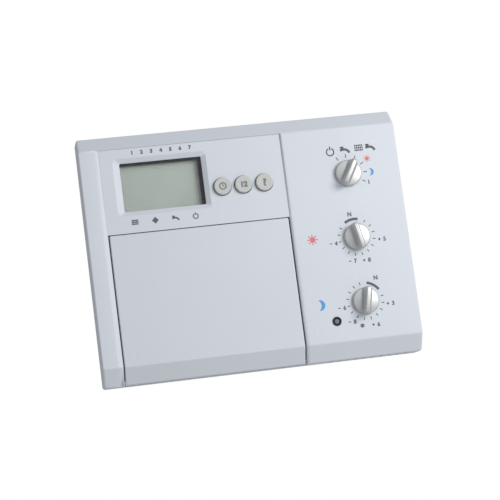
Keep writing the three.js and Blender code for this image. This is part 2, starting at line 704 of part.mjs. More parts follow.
// A key: a rounded cap through the bay's floor, a flange behind it and a stem towards its dome.
function key(x, z) {
  const w = KEY_WIDTH / 2;
  const h = KEY_HEIGHT / 2;
  const stemEnd = DOME_TOP - KEY_TRAVEL - REST_CLEARANCE;
  const flangeFront = BAY_BACK + FLANGE_PLAY;
  const flangeBack = flangeFront + FLANGE_THICKNESS;
  const flangeWidth = KEY_WIDTH + 2 * KEY_FLANGE;
  const flangeHeight = KEY_HEIGHT + 2 * KEY_FLANGE;
  return join(
    alongY(roundedRect(x - w, x + w, z - h, z + h, KEY_CORNER), BAY_FRONT - KEY_PROUD, flangeBack),
    pad(x, z, flangeWidth, flangeHeight, flangeFront, flangeBack),
    bar(x, z, flangeFront, stemEnd, STEM_RADIUS, STEM_RADIUS, 16),
  );
}

// A rubber mat on the board with a low dome under each key.
function keyMat(places, margin) {
  const xs = places.map((p) => p.x);
  const zs = places.map((p) => p.z);
  const sheet = block(
    Math.min(...xs) - margin,
    Math.max(...xs) + margin,
    MAT_FRONT,
    BOARD_FRONT,
    Math.min(...zs) - margin,
    Math.max(...zs) + margin,
  );
  const crown = 0.7 * DOME_RADIUS;
  const domes = places.map(({ x, z }) =>
    bar(x, z, DOME_TOP, MAT_FRONT + 0.5, crown, DOME_RADIUS, 16),
  );
  return join(sheet, ...domes);
}

// ---------------------------------------------------------------- display

const LENS_WIDTH = GLASS_OPENING_WIDTH + 2 * LENS_MARGIN;
const LENS_HEIGHT = GLASS_OPENING_HEIGHT + 2 * LENS_MARGIN;

const lens = () => pad(OPENING_X, OPENING_Z, LENS_WIDTH, LENS_HEIGHT, FIELD_BACK, LENS_BACK);

function gasket() {
  const frame = pad(OPENING_X, OPENING_Z, LENS_WIDTH, LENS_HEIGHT, LENS_BACK, CELL_FRONT);
  const view = block(
    OPENING.left - GASKET_BACK_OFF,
    OPENING.right - GASKET_COVERS_RIGHT,
    LENS_BACK - 1,
    CELL_FRONT + 1,
    OPENING.bottom - GASKET_BACK_OFF,
    OPENING.top - GASKET_COVERS_TOP,
  );
  return cut(frame, view);
}

const liquidCrystalCell = () =>
  pad(OPENING_X, OPENING_Z, CELL_WIDTH, CELL_HEIGHT, CELL_FRONT, CELL_BACK);

function cellHolder() {
  const play = 0.15;
  // a block round the display's middle that is this much larger than the cell
  const about = (wider, taller, y0, y1) =>
    pad(OPENING_X, OPENING_Z, CELL_WIDTH + wider, CELL_HEIGHT + taller, y0, y1);
  return cut(
    about(2 * HOLDER_WALL, 2 * HOLDER_WALL, CELL_FRONT + 0.4, BOARD_FRONT),
    about(2 * play, 2 * play, CELL_FRONT - 1, CELL_BACK),
    about(-3, -1, CELL_FRONT - 1, BOARD_FRONT + 1),
  );
}

// Striped rubber bars that carry the signals from the board to the cell's edge.
const CONTACT_INSET = 2; // from the cell's edge to the middle of the strip
const CONTACT_WIDTH = 2.2;

function contactStrip(side) {
  const z = OPENING_Z + side * (CELL_HEIGHT / 2 - CONTACT_INSET);
  return pad(OPENING_X, z, CELL_WIDTH - 4, CONTACT_WIDTH, CELL_BACK, BOARD_FRONT);
}

// ---------------------------------------------------------------- buttons, knobs, lamp

// A button: a slightly dished cap, a flange behind the cover that keeps it in, and a stem.
function button() {
  const r = BUTTON_DIAMETER / 2;
  const face = FIELD - BUTTON_PROUD;
  const flange = Math.min(BUTTON_HOLE + BUTTON_FLANGE, BUTTON_PITCH / 2 - 0.1);
  const flangeFront = FIELD_BACK + FLANGE_PLAY;
  const flangeBack = flangeFront + FLANGE_THICKNESS;
  const stemEnd = DOME_TOP - BUTTON_TRAVEL - REST_CLEARANCE;
  return turned(
    [
      [0, face + BUTTON_DISH],
      [r * 0.6, face + BUTTON_DISH / 3],
      [r - 0.5, face],
      [r - 0.12, face + 0.2],
      [r, face + 0.55],
      [r, flangeFront],
      [flange, flangeFront],
      [flange, flangeBack],
      [STEM_RADIUS, flangeBack],
      [STEM_RADIUS, stemEnd],
      [0, stemEnd],
    ],
    28,
  );
}

// A knob turned to point straight up: a low cone with a bar across it for the fingers.
function knob() {
  const r = KNOB_DIAMETER / 2;
  const skirt = turned(
    [
      [0, -KNOB_CROWN],
      [1.5, -KNOB_CROWN],
      [r - 0.7, -KNOB_SKIRT],
      [r - 0.2, -KNOB_SKIRT + 0.2],
      [r, -KNOB_SKIRT + 0.7],
      [r, 0],
      [0, 0],
    ],
    40,
  );
  const w = KNOB_BAR_WIDTH / 2;
  const t = KNOB_BAR_TOP_WIDTH / 2;
  const section = [
    [-w, -1],
    [-w, -KNOB_CROWN],
    [-t, -KNOB_HEIGHT + 0.3],
    [-t + 0.3, -KNOB_HEIGHT],
    [t - 0.3, -KNOB_HEIGHT],
    [t, -KNOB_HEIGHT + 0.3],
    [w, -KNOB_CROWN],
    [w, -1],
  ];
  const grip = solid(alongZ(section, -r, r)).intersect(
    bar(0, 0, -KNOB_HEIGHT - 1, 0, r - 0.7, r, 40),
  );
  const boreRadius = SHAFT_RADIUS + SHAFT_FIT;
  const bore = bar(0, 0, SHAFT_FRONT - KNOB_BACK - SHAFT_FIT, 1, boreRadius, boreRadius, 20);
  const slotEnd = TONGUE_FRONT - KNOB_BACK - SHAFT_FIT;
  const slot = pad(0, 0, TONGUE_WIDTH + 2 * SHAFT_FIT, 2 * boreRadius, slotEnd, 0);
  return cut(join(skirt, grip), bore, slot);
}

// The selector's shaft, with a tongue for the knob and a collar that turns inside the housing.
function shaft() {
  const back = BOARD_FRONT - 1;
  const collarFront = BOARD_FRONT - COLLAR_ROOM + FIT;
  return join(
    pad(0, 0, TONGUE_WIDTH, 2 * SHAFT_RADIUS - 0.4, TONGUE_FRONT, SHAFT_FRONT + 1),
    bar(0, 0, SHAFT_FRONT, back, SHAFT_RADIUS, SHAFT_RADIUS, 20),
    bar(0, 0, collarFront, back, COLLAR_RADIUS),
  );
}

function selectorHousing(z) {
  const front = BOARD_FRONT - SELECTOR_HEIGHT;
  const body = join(
    pad(KNOB_X, z, SELECTOR_SIZE, SELECTOR_SIZE, front, BOARD_FRONT),
    bar(KNOB_X, z, PANEL_BACK + 0.8, front + 0.5, 4),
  );
  const bore = SHAFT_RADIUS + SHAFT_CLEARANCE;
  const room = COLLAR_RADIUS + FIT;
  return cut(
    body,
    bar(KNOB_X, z, FRONT, BOARD_FRONT - COLLAR_ROOM + 1, bore, bore, 32),
    bar(KNOB_X, z, BOARD_FRONT - COLLAR_ROOM, BOARD_FRONT + 1, room, room, 32),
  );
}

function lampBezel() {
  const r = LAMP_DIAMETER / 2;
  const on = (y0, y1, ...radii) => bar(LAMP_X, LAMP_Z, y0, y1, ...radii);
  return cut(
    join(on(FRONT - LAMP_PROUD, PANEL_BACK + 1, r), on(PANEL_BACK, PANEL_BACK + 1, r + 1)),
    on(FRONT - 1, PANEL_BACK + 2, LAMP_LENS_RADIUS + 0.05),
    on(FRONT - LAMP_PROUD - 0.01, FRONT + 0.5, r - 0.25, LAMP_LENS_RADIUS + 0.2),
  );
}

function lightPipe() {
  const r = LAMP_LENS_RADIUS - 0.02;
  return join(
    bar(LAMP_X, LAMP_Z, FRONT + 0.1, BOARD_FRONT - LAMP_HEIGHT - FIT, r),
    bar(LAMP_X, LAMP_Z, FRONT - 0.15, FRONT + 0.2, 0.5, r),
  );
}

const lamp = () => pad(LAMP_X, LAMP_Z, 3, 1.6, BOARD_FRONT - LAMP_HEIGHT, BOARD_FRONT);

// ---------------------------------------------------------------- board and what it carries

function board() {
  const edge = WALL + BOARD_GAP;
  const sheet = pad(0, 0, WIDTH - 2 * edge, HEIGHT - 2 * (edge + 1), BOARD_FRONT, BOARD_BACK);
  const holes = POSTS.map(([x, z]) => bar(x, z, BOARD_FRONT - 1, BOARD_BACK + 1, 1.3, 1.3, 16));
  return cut(sheet, ...holes);
}

function boardScrew(x, z) {
  const shank = PILOT_RADIUS - 0.1;
  const head = 2.2;
  const headTop = BOARD_BACK + 1.7;
  const screw = turned(
    [
      [0, BOARD_BACK - 7],
      [shank, BOARD_BACK - 7],
      [shank, BOARD_BACK],
      [head, BOARD_BACK],
      [head, BOARD_BACK + 0.8],
      [1.3, headTop],
      [0, headTop],
    ],
    16,
  );
  const cross = join(
    pad(0, 0, 2.4, 0.5, headTop - 0.8, headTop + 1),
    pad(0, 0, 0.5, 2.4, headTop - 0.8, headTop + 1),
  );
  return cut(screw, cross).translate([x, 0, z]);
}

// Square chip with a comb of leads along each side, on the back of the board.
const CHIP = { x: -30, z: 20, half: 6, leadPitch: 1.5, leadsPerSide: 7 };
const QUARTZ = { x: -30, z: 2, halfWidth: 5.5, halfHeight: 2.2 };
const CAPACITOR = { x: -52, z: -30 };

function controller() {
  const { x, z, half, leadPitch, leadsPerSide } = CHIP;
  const body = pad(x, z, 2 * half, 2 * half, BOARD_BACK + 0.1, BOARD_BACK + 1.8);
  const out = half + 0.7;
  const leads = [];
  for (let i = 0; i < leadsPerSide; i++)
    for (const side of [-1, 1]) {
      const along = (i - (leadsPerSide - 1) / 2) * leadPitch;
      leads.push(pad(x + along, z + side * out, 0.6, 1.6, BOARD_BACK, BOARD_BACK + 0.5));
      leads.push(pad(x + side * out, z + along, 1.6, 0.6, BOARD_BACK, BOARD_BACK + 0.5));
    }
  return join(body, ...leads);
}

function quartzCan() {
  const { x, z, halfWidth, halfHeight } = QUARTZ;
  const outline = (grow) => {
    const w = halfWidth + grow;
    const h = halfHeight + grow;
    return roundedRect(x - w, x + w, z - h, z + h, h - 0.1);
  };
  return join(
    alongY(outline(0), BOARD_BACK + 0.4, BOARD_BACK + 3.6),
    alongY(outline(0.4), BOARD_BACK, BOARD_BACK + 0.5),
  );
}

// Round capacitor that keeps the clock running through a power cut.
const reserveCapacitor = () =>
  turned(
    [
      [0, BOARD_BACK],
      [5.6, BOARD_BACK],
      [5.6, BOARD_BACK + 0.8],
      [6.4, BOARD_BACK + 1.2],
      [6.4, BOARD_BACK + 4.2],
      [5.9, BOARD_BACK + 4.7],
      [0, BOARD_BACK + 4.7],
    ],
    24,
  );

// Temperature sensor: a bead on two legs that hold it away from the board in the air stream.
const SENSOR_FROM_BOTTOM = 12;
const SENSOR_HEIGHT = 4;

function roomSensor() {
  const z = BOTTOM + SENSOR_FROM_BOTTOM;
  const y = BOARD_BACK + SENSOR_HEIGHT;
  const bead = solid(new THREE.SphereGeometry(1.5, 12, 8).translate(KNOB_X, y, z));
  const legs = [-0.8, 0.8].map((dx) => pad(KNOB_X + dx, z, 0.5, 0.5, BOARD_BACK, y));
  return join(bead, ...legs);
}

// ---------------------------------------------------------------- the object put together

piece("wall_base", wallBase(), baseGrey);
piece("terminal_block", terminalBlock(), terminalGrey);
TERMINAL_XS.forEach((x, i) => piece(`terminal_screw_${i + 1}`, terminalScrew(x), brass));
piece("base_socket", baseSocket(), nylonWhite);

piece("front_cover", frontCover(), coverGrey);
piece("flap", flap(), flapGrey);
piece("key_bay", keyBay(), bayGrey);
KEY_PLACES.forEach(({ x, z }, i) => piece(`bay_key_${i + 1}`, key(x, z), keyGrey));
piece("bay_key_mat", keyMat(KEY_PLACES, KEY_MAT_MARGIN), siliconeGrey);

piece("display_lens", lens(), clearAcrylic);
piece("display_gasket", gasket(), blackRubber);
piece("display_cell", liquidCrystalCell(), cellGrey);
piece("display_holder", cellHolder(), nylonWhite);
piece("contact_strip_upper", contactStrip(1), siliconeGrey);
piece("contact_strip_lower", contactStrip(-1), siliconeGrey);

BUTTON_XS.forEach((x, i) => {
  const cap = piece(`button_${i + 1}`, button(), buttonGrey);
  cap.position.set(x, 0, BUTTON_Z);
});
const buttonPlaces = BUTTON_XS.map((x) => ({ x, z: BUTTON_Z }));
piece("button_mat", keyMat(buttonPlaces, BUTTON_MAT_MARGIN), siliconeGrey);

KNOB_ANGLES.forEach((angle, i) => {
  const selector = new THREE.Group();
  selector.position.set(KNOB_X, 0, KNOB_ZS[i]);
  selector.rotation.y = THREE.MathUtils.degToRad(angle);
  const cap = piece(`knob_${i + 1}`, knob(), satinSilver, selector);
  cap.position.y = KNOB_BACK;
  piece(`selector_shaft_${i + 1}`, shaft(), nylonWhite, selector);
  thermostat.add(selector);
  piece(`selector_housing_${i + 1}`, selectorHousing(KNOB_ZS[i]), chipBlack);
});

piece("lamp_bezel", lampBezel(), chipBlack);
piece("light_pipe", lightPipe(), smoke);
piece("lamp", lamp(), nylonWhite);

piece("circuit_board", board(), boardGreen);
POSTS.forEach(([x, z], i) => piece(`board_screw_${i + 1}`, boardScrew(x, z), steel));
piece("board_header", boardHeader(), chipBlack);
piece("controller_chip", controller(), chipBlack);
piece("quartz_can", quartzCan(), steel);
const capacitor = piece("reserve_capacitor", reserveCapacitor(), chipBlack);
capacitor.position.set(CAPACITOR.x, 0, CAPACITOR.z);
piece("room_sensor", roomSensor(), chipBlack);

export default thermostat;
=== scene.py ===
"""Looks of the wall thermostat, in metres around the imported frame: moulded skins with soft edges over cover
and flap, scooped selector knobs, dished buttons, printed scales and signs, and a finish for every piece."""
import math

import bmesh
import bpy
import numpy as np
from mathutils import Matrix, Vector


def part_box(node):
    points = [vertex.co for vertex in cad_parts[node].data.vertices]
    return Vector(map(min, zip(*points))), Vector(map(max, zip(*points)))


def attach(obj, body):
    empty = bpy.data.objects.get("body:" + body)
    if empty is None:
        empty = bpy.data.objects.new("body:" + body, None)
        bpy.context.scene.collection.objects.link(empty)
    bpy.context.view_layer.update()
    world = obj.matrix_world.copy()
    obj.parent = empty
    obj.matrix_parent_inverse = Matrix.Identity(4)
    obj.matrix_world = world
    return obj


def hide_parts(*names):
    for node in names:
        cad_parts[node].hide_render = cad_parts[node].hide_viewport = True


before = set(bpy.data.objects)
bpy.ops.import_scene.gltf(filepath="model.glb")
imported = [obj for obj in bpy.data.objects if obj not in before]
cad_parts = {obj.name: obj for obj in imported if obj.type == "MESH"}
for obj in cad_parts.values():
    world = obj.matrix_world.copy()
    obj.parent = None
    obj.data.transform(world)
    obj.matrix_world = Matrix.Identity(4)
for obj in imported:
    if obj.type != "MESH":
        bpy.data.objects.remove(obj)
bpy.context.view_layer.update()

MM = 0.001

# ------------------------------------------------------------------ places taken from the frame

COVER_LOW, COVER_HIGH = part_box("front_cover")
FLAP_LOW, FLAP_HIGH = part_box("flap")
BAY_LOW, BAY_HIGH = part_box("key_bay")
GASKET_LOW, GASKET_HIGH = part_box("display_gasket")
BAY_PLAY = 0.3 * MM  # the key bay is this much narrower than the middle field on each side
LENS_MARGIN = 2.4 * MM  # the gasket reaches this far past the display's opening

FRONT = COVER_LOW.y  # plane of the left strip and the knob panel
FIELD = FLAP_LOW.y  # plane of the middle field and the flap
FIELD_LEFT = BAY_LOW.x - BAY_PLAY
FIELD_RIGHT = BAY_HIGH.x + BAY_PLAY
TOP_BEVEL_RISE = 7 * MM
TOP_BEVEL_RUN = 6.3 * MM
BOTTOM_BEVEL_RISE = 8.1 * MM
BOTTOM_BEVEL_RUN = 5.9 * MM
FACE_TOP = COVER_HIGH.z - TOP_BEVEL_RISE
FACE_BOTTOM = COVER_LOW.z + BOTTOM_BEVEL_RISE
OPENING_LOW = GASKET_LOW + Vector((LENS_MARGIN, 0, LENS_MARGIN))
OPENING_HIGH = GASKET_HIGH - Vector((LENS_MARGIN, 0, LENS_MARGIN))

KNOB_ANGLES = [30, -11.25, 11.25]  # clockwise from straight up, with the selectors at rest
KEYS = 6
BUTTONS = 3
BUTTON_RADIUS = 4.0 * MM
BUTTON_MOUTH = 4.32 * MM  # radius of the hole that a button stands in
BUTTON_DISH = 0.1 * MM  # how far the middle of a button lies below its rim

SKIN = 0.02 * MM  # a fine surface lies this far inside the plain one that it stands for


def middle_of(node):
    low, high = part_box(node)
    return (low + high) / 2


# ------------------------------------------------------------------ finishes


def colour(hex_code, alpha=1.0):
    """An sRGB hex value as the linear colour that shaders take."""
    parts = [int(hex_code[i : i + 2], 16) / 255 for i in (1, 3, 5)]
    return [p / 12.92 if p <= 0.04045 else ((p + 0.055) / 1.055) ** 2.4 for p in parts] + [alpha]


def add(tree, kind, inputs, **settings):
    """Adds a node with its settings; an input is a value or the output socket that feeds it."""
    made = tree.nodes.new(kind)
    for name, value in settings.items():
        setattr(made, name, value)
    for name, value in inputs.items():
        if isinstance(value, bpy.types.NodeSocket):
            tree.links.new(value, made.inputs[name])
        else:
            made.inputs[name].default_value = value
    return made


def empty_material(name):
    material = bpy.data.materials.new(name)
    material.use_nodes = True
    material.node_tree.nodes.clear()
    return material, material.node_tree


def per_metre(millimetres):
    """The texture scale that gives a pattern with features of this size."""
    return 1 / (millimetres * MM)


def moulded_plastic(name, light, dark, rough, grain_mm, relief_mm, cloud_mm=35, ior=1.53, coat=0.0):
    """A thermoplastic from an eroded mould: fine even grain, a broad satin highlight, and a shade that
    drifts slightly over the part where the melt flowed."""
    material, tree = empty_material(name)
    place = add(tree, "ShaderNodeTexCoord", {}).outputs["Object"]
    grain = add(
        tree,
        "ShaderNodeTexNoise",
        {"Vector": place, "Scale": per_metre(grain_mm), "Detail": 2.0, "Roughness": 0.6},
    )
    cloud = add(
        tree,
        "ShaderNodeTexNoise",
        {"Vector": place, "Scale": per_metre(cloud_mm), "Detail": 3.0, "Roughness": 0.55},
    )
    mixed = add(
        tree,
        "ShaderNodeMath",
        {0: cloud.outputs["Fac"], 1: 0.75, 2: 0.0},
        operation="MULTIPLY_ADD",
    )
    tree.links.new(
        add(tree, "ShaderNodeMath", {0: grain.outputs["Fac"], 1: 0.25}, operation="MULTIPLY").outputs[0],
        mixed.inputs[2],
    )
    shade = add(
        tree,
        "ShaderNodeMix",
        {0: mixed.outputs[0], 6: colour(dark), 7: colour(light)},
        data_type="RGBA",
    )
    gloss = add(
        tree,
        "ShaderNodeMapRange",
        {
            "Value": grain.outputs["Fac"],
            "From Min": 0.3,
            "From Max": 0.7,
            "To Min": rough - 0.05,
            "To Max": rough + 0.05,
        },
    )
    bump = add(
        tree,
        "ShaderNodeBump",
        {"Height": grain.outputs["Fac"], "Strength": 0.5, "Distance": relief_mm * MM},
    )
    shader = add(
        tree,
        "ShaderNodeBsdfPrincipled",
        {
            "Base Color": shade.outputs[2],
            "Roughness": gloss.outputs[0],
            "IOR": ior,
            "Coat Weight": coat,
            "Normal": bump.outputs[0],
        },
    )
    add(tree, "ShaderNodeOutputMaterial", {"Surface": shader.outputs[0]})
    return material


def bright_metal(name, light, dark, rough, streak_mm, stretch=(1, 1, 1), relief_mm=0.01, metallic=1.0):
    """Bare metal, or a lacquer with metal flakes, which is less metallic: it mirrors the room in its own
    tint, softened by fine marks along stretch."""
    material, tree = empty_material(name)
    place = add(tree, "ShaderNodeTexCoord", {}).outputs["Object"]
    turned = add(tree, "ShaderNodeMapping", {"Vector": place, "Scale": stretch})
    marks = add(
        tree,
        "ShaderNodeTexNoise",
        {"Vector": turned.outputs[0], "Scale": per_metre(streak_mm), "Detail": 3.0, "Roughness": 0.6},
    )
    shade = add(
        tree,
        "ShaderNodeMix",
        {0: marks.outputs["Fac"], 6: colour(dark), 7: colour(light)},
        data_type="RGBA",
    )
    gloss = add(
        tree,
        "ShaderNodeMapRange",
        {
            "Value": marks.outputs["Fac"],
            "From Min": 0.3,
            "From Max": 0.7,
            "To Min": rough - 0.05,
            "To Max": rough + 0.06,
        },
    )
    bump = add(
        tree,
        "ShaderNodeBump",
        {"Height": marks.outputs["Fac"], "Strength": 0.4, "Distance": relief_mm * MM},
    )
    shader = add(
        tree,
        "ShaderNodeBsdfPrincipled",
        {
            "Base Color": shade.outputs[2],
            "Metallic": metallic,
            "Roughness": gloss.outputs[0],
            "Normal": bump.outputs[0],
        },
    )
    add(tree, "ShaderNodeOutputMaterial", {"Surface": shader.outputs[0]})
    return material


def pad_printed_ink(name, light, dark):
    """Two-component pad-printing ink: a thin matt film whose cover varies a little over each sign."""
    return moulded_plastic(name, light, dark, rough=0.6, grain_mm=0.5, relief_mm=0.01, cloud_mm=4, ior=1.5)


def clear_acrylic(name, tint):
    """Cast acrylic window: nearly colourless, polished, and it lets the light through to the cell."""
    material, tree = empty_material(name)
    place = add(tree, "ShaderNodeTexCoord", {}).outputs["Object"]
    haze = add(
        tree,
        "ShaderNodeTexNoise",
        {"Vector": place, "Scale": per_metre(6), "Detail": 2.0, "Roughness": 0.5},
    )
    gloss = add(
        tree,
        "ShaderNodeMapRange",
        {"Value": haze.outputs["Fac"], "From Min": 0.3, "From Max": 0.7, "To Min": 0.02, "To Max": 0.07},
    )
    pane = add(
        tree,
        "ShaderNodeBsdfPrincipled",
        {
            "Base Color": colour(tint),
            "Roughness": gloss.outputs[0],
            "IOR": 1.49,
            "Transmission Weight": 1.0,
        },
    )
    through = add(tree, "ShaderNodeBsdfTransparent", {"Color": colour(tint)})
    path = add(tree, "ShaderNodeLightPath", {})
    mixed = add(
        tree,
        "ShaderNodeMixShader",
        {0: path.outputs["Is Shadow Ray"], 1: pane.outputs[0], 2: through.outputs[0]},
    )
    add(tree, "ShaderNodeOutputMaterial", {"Surface": mixed.outputs[0]})
    return material


def liquid_crystal_glass(name, light, dark):
    """Reflective display with nothing switched on: the polariser's grey-green, a trace of the rear
    reflector's mottle, and glass over it."""
    material, tree = empty_material(name)
    place = add(tree, "ShaderNodeTexCoord", {}).outputs["Object"]
    mottle = add(
        tree,
        "ShaderNodeTexNoise",
        {"Vector": place, "Scale": per_metre(9), "Detail": 4.0, "Roughness": 0.6},
    )
    shade = add(
        tree,
        "ShaderNodeMix",
        {0: mottle.outputs["Fac"], 6: colour(dark), 7: colour(light)},
        data_type="RGBA",
    )
    gloss = add(
        tree,
        "ShaderNodeMapRange",
        {"Value": mottle.outputs["Fac"], "From Min": 0.3, "From Max": 0.7, "To Min": 0.3, "To Max": 0.4},
    )
    shader = add(
        tree,
        "ShaderNodeBsdfPrincipled",
        {
            "Base Color": shade.outputs[2],
            "Roughness": gloss.outputs[0],
            "IOR": 1.52,
            "Coat Weight": 0.5,
            "Coat Roughness": 0.08,
        },
    )
    add(tree, "ShaderNodeOutputMaterial", {"Surface": shader.outputs[0]})
    return material


def board_laminate(name, resist, over_copper):
    """Glass-epoxy board under green solder resist; the copper tracks below show as lighter bands."""
    material, tree = empty_material(name)
    place = add(tree, "ShaderNodeTexCoord", {}).outputs["Object"]
    tracks = add(
        tree,
        "ShaderNodeTexVoronoi",
        {"Vector": place, "Scale": per_metre(5), "Randomness": 0.35},
        distance="CHEBYCHEV",
        feature="DISTANCE_TO_EDGE",
    )
    copper = add(
        tree,
        "ShaderNodeMapRange",
        {
            "Value": tracks.outputs["Distance"],
            "From Min": 0.06,
            "From Max": 0.1,
            "To Min": 1.0,
            "To Max": 0.0,
        },
    )
    weave = add(
        tree,
        "ShaderNodeTexNoise",
        {"Vector": place, "Scale": per_metre(0.8), "Detail": 1.0, "Roughness": 0.5},
    )
    shade = add(
        tree,
        "ShaderNodeMix",
        {0: copper.outputs[0], 6: colour(resist), 7: colour(over_copper)},
        data_type="RGBA",
    )
    gloss = add(
        tree,
        "ShaderNodeMapRange",
        {"Value": weave.outputs["Fac"], "From Min": 0.3, "From Max": 0.7, "To Min": 0.25, "To Max": 0.38},
    )
    bump = add(
        tree,
        "ShaderNodeBump",
        {"Height": copper.outputs[0], "Strength": 0.6, "Distance": 0.035 * MM},
    )
    shader = add(
        tree,
        "ShaderNodeBsdfPrincipled",
        {
            "Base Color": shade.outputs[2],
            "Roughness": gloss.outputs[0],
            "IOR": 1.55,
            "Normal": bump.outputs[0],
        },
    )
    add(tree, "ShaderNodeOutputMaterial", {"Surface": shader.outputs[0]})
    return material


COVER_ABS = moulded_plastic("cover ABS, eroded texture", "#D4DAE1", "#CDD3DA", 0.5, 0.7, 0.02)
FLAP_ABS = moulded_plastic("flap ABS, eroded texture", "#D3D9E0", "#CCD2D9", 0.5, 0.7, 0.02)
BASE_ABS = moulded_plastic("wall base ABS, smooth", "#C6CCD2", "#BEC4CA", 0.55, 1.2, 0.02)
BAY_ABS = moulded_plastic("key bay ABS, smooth", "#BCC3C9", "#B4BBC1", 0.55, 1.2, 0.02)
BUTTON_ABS = moulded_plastic("button ABS, warm grey", "#C6C8C5", "#BDBFBC", 0.5, 0.8, 0.02)
KEY_ABS = moulded_plastic("key ABS, mid grey", "#8F979D", "#868E94", 0.5, 0.8, 0.02)
BLACK_PLASTIC = moulded_plastic("black PBT", "#2A2C2E", "#232527", 0.45, 0.8, 0.03)
TERMINAL_PLASTIC = moulded_plastic("terminal polyamide, grey", "#8D9399", "#82888E", 0.5, 1.0, 0.03)
NYLON = moulded_plastic("natural polyamide", "#E8E5DB", "#DEDBD0", 0.5, 1.0, 0.02)
RUBBER = moulded_plastic("black foam rubber", "#141516", "#0F1010", 0.85, 0.6, 0.08, ior=1.52)
SILICONE = moulded_plastic("grey silicone rubber", "#767B80", "#6C7176", 0.65, 1.0, 0.03, ior=1.41)
SMOKED_ACRYLIC = moulded_plastic("smoked acrylic", "#7C8287", "#70767B", 0.25, 2.0, 0.005, ior=1.49)
SILVER_LACQUER = bright_metal("satin silver lacquer", "#C3C5C4", "#B8BAB9", 0.42, 0.5, metallic=0.6)
STEEL = bright_metal("zinc-plated steel", "#C9CCCF", "#B4B7BA", 0.32, 1.5, stretch=(1, 0.2, 1))
BRASS = bright_metal("turned brass", "#D9B76A", "#C9A557", 0.3, 1.0, stretch=(1, 0.2, 1))
LENS_ACRYLIC = clear_acrylic("clear acrylic", "#F6F8F7")
CELL_GLASS = liquid_crystal_glass("liquid crystal cell", "#99A19A", "#909891")
LAMINATE = board_laminate("board laminate, green resist", "#2B6A42", "#3B8253")
DARK_INK = pad_printed_ink("dark grey pad-printing ink", "#5D646C", "#555C64")
GREY_INK = pad_printed_ink("mid grey pad-printing ink", "#7B8084", "#72777B")
RED_INK = pad_printed_ink("red pad-printing ink", "#DD7A7E", "#D67175")
BLUE_INK = pad_printed_ink("blue pad-printing ink", "#5A9FDC", "#5095D4")


# ------------------------------------------------------------------ shapes


def filleted(points, radii, steps=6):
    """An open line of 2-D points with arcs of the given radii in place of its inner corners."""
    line = [Vector(points[0])]
    for before, corner, after, radius in zip(points, points[1:], points[2:], radii):
        corner = Vector(corner)
        along = (corner - Vector(before)).normalized()
        away = (Vector(after) - corner).normalized()
        turn = along.angle(away)
        if radius == 0 or turn < 1e-4:
            line.append(corner)
            continue
        inward = (away - along * along.dot(away)).normalized()
        start = corner - along * radius * math.tan(turn / 2)
        centre = start + inward * radius
        for i in range(steps + 1):
            angle = turn * i / steps
            line.append(centre - inward * radius * math.cos(angle) + along * radius * math.sin(angle))
    line.append(Vector(points[-1]))
    return line


def rounded_rect(x0, x1, z0, z1, radius, steps=8):
    """Points of a rectangle with round corners, from the upper right corner round by the left."""
    left, right = x0 + radius, x1 - radius
    low, high = z0 + radius, z1 - radius
    centres = [(right, high), (left, high), (left, low), (right, low)]
    outline = []
    for quarter, (cx, cz) in enumerate(centres):
        for i in range(steps + 1):
            angle = math.pi / 2 * (quarter + i / steps)
            outline.append((cx + radius * math.cos(angle), cz + radius * math.sin(angle)))
    return outline


def new_object(name, bm):
    """Puts a bmesh into the scene as an object."""
    bmesh.ops.recalc_face_normals(bm, faces=bm.faces)
    mesh = bpy.data.meshes.new(name)
    bm.to_mesh(mesh)
    bm.free()
    made = bpy.data.objects.new(name, mesh)
    bpy.context.scene.collection.objects.link(made)
    return made


def loft(name, rings):
    """A closed body through rings of the same number of points."""
    bm = bmesh.new()
    rows = [[bm.verts.new(p) for p in ring] for ring in rings]
    for lower, upper in zip(rows, rows[1:]):
        for i in range(len(lower)):
            j = (i + 1) % len(lower)
            bm.faces.new((lower[i], lower[j], upper[j], upper[i]))
    bm.faces.new(rows[0])
    bm.faces.new(rows[-1])
    return new_object(name, bm)


def lathe(name, axis, profile, steps=64):
    """A turned body about the line through axis along Y; profile gives [radius, depth] from axis to axis."""
    rings = [
        [
            (axis.x + r * math.cos(a), y, axis.z + r * math.sin(a))
            for a in (2 * math.pi * i / steps for i in range(steps))
        ]
        for r, y in profile
        if r > 0
    ]
    return loft(name, rings)


def value_on(line, depth):
    """The second coordinate of a line of [depth, value] points at this depth."""
    points = sorted((p[0], p[1]) for p in line)
    return float(np.interp(depth, [p[0] for p in points], [p[1] for p in points]))


def moulded_form(name, top, bottom, side, left, right, corner):
    """A closed body made of slices parallel to the wall. top and bottom are the [depth, height] lines of a
    slice's edges, side says how far its flanks are drawn in, and corner rounds its corners."""
    front = max(line[-1][0] for line in (top, bottom, side))
    depths = sorted({round(p[0], 8) for line in (top, bottom, side) for p in line if p[0] >= front - 1e-9})
    rings = []
    for depth in depths:
        inset = value_on(side, depth)
        outline = rounded_rect(
            left + inset,
            right - inset,
            value_on(bottom, depth),
            value_on(top, depth),
            max(corner - 0.5 * max(inset, 0), 0.2 * MM),
        )
        rings.append([(x, depth, z) for x, z in outline])
    return loft(name, rings)


def boolean(body, tool, operation):
    """Cuts tool out of body ("DIFFERENCE") or keeps what they share ("INTERSECT"), and removes tool."""
    step = body.modifiers.new("tool", "BOOLEAN")
    step.operation = operation
    step.solver = "EXACT"
    step.object = tool
    made = body.evaluated_get(bpy.context.evaluated_depsgraph_get())
    mesh = bpy.data.meshes.new_from_object(made)
    body.modifiers.clear()
    body.data = mesh
    bpy.data.objects.remove(tool)


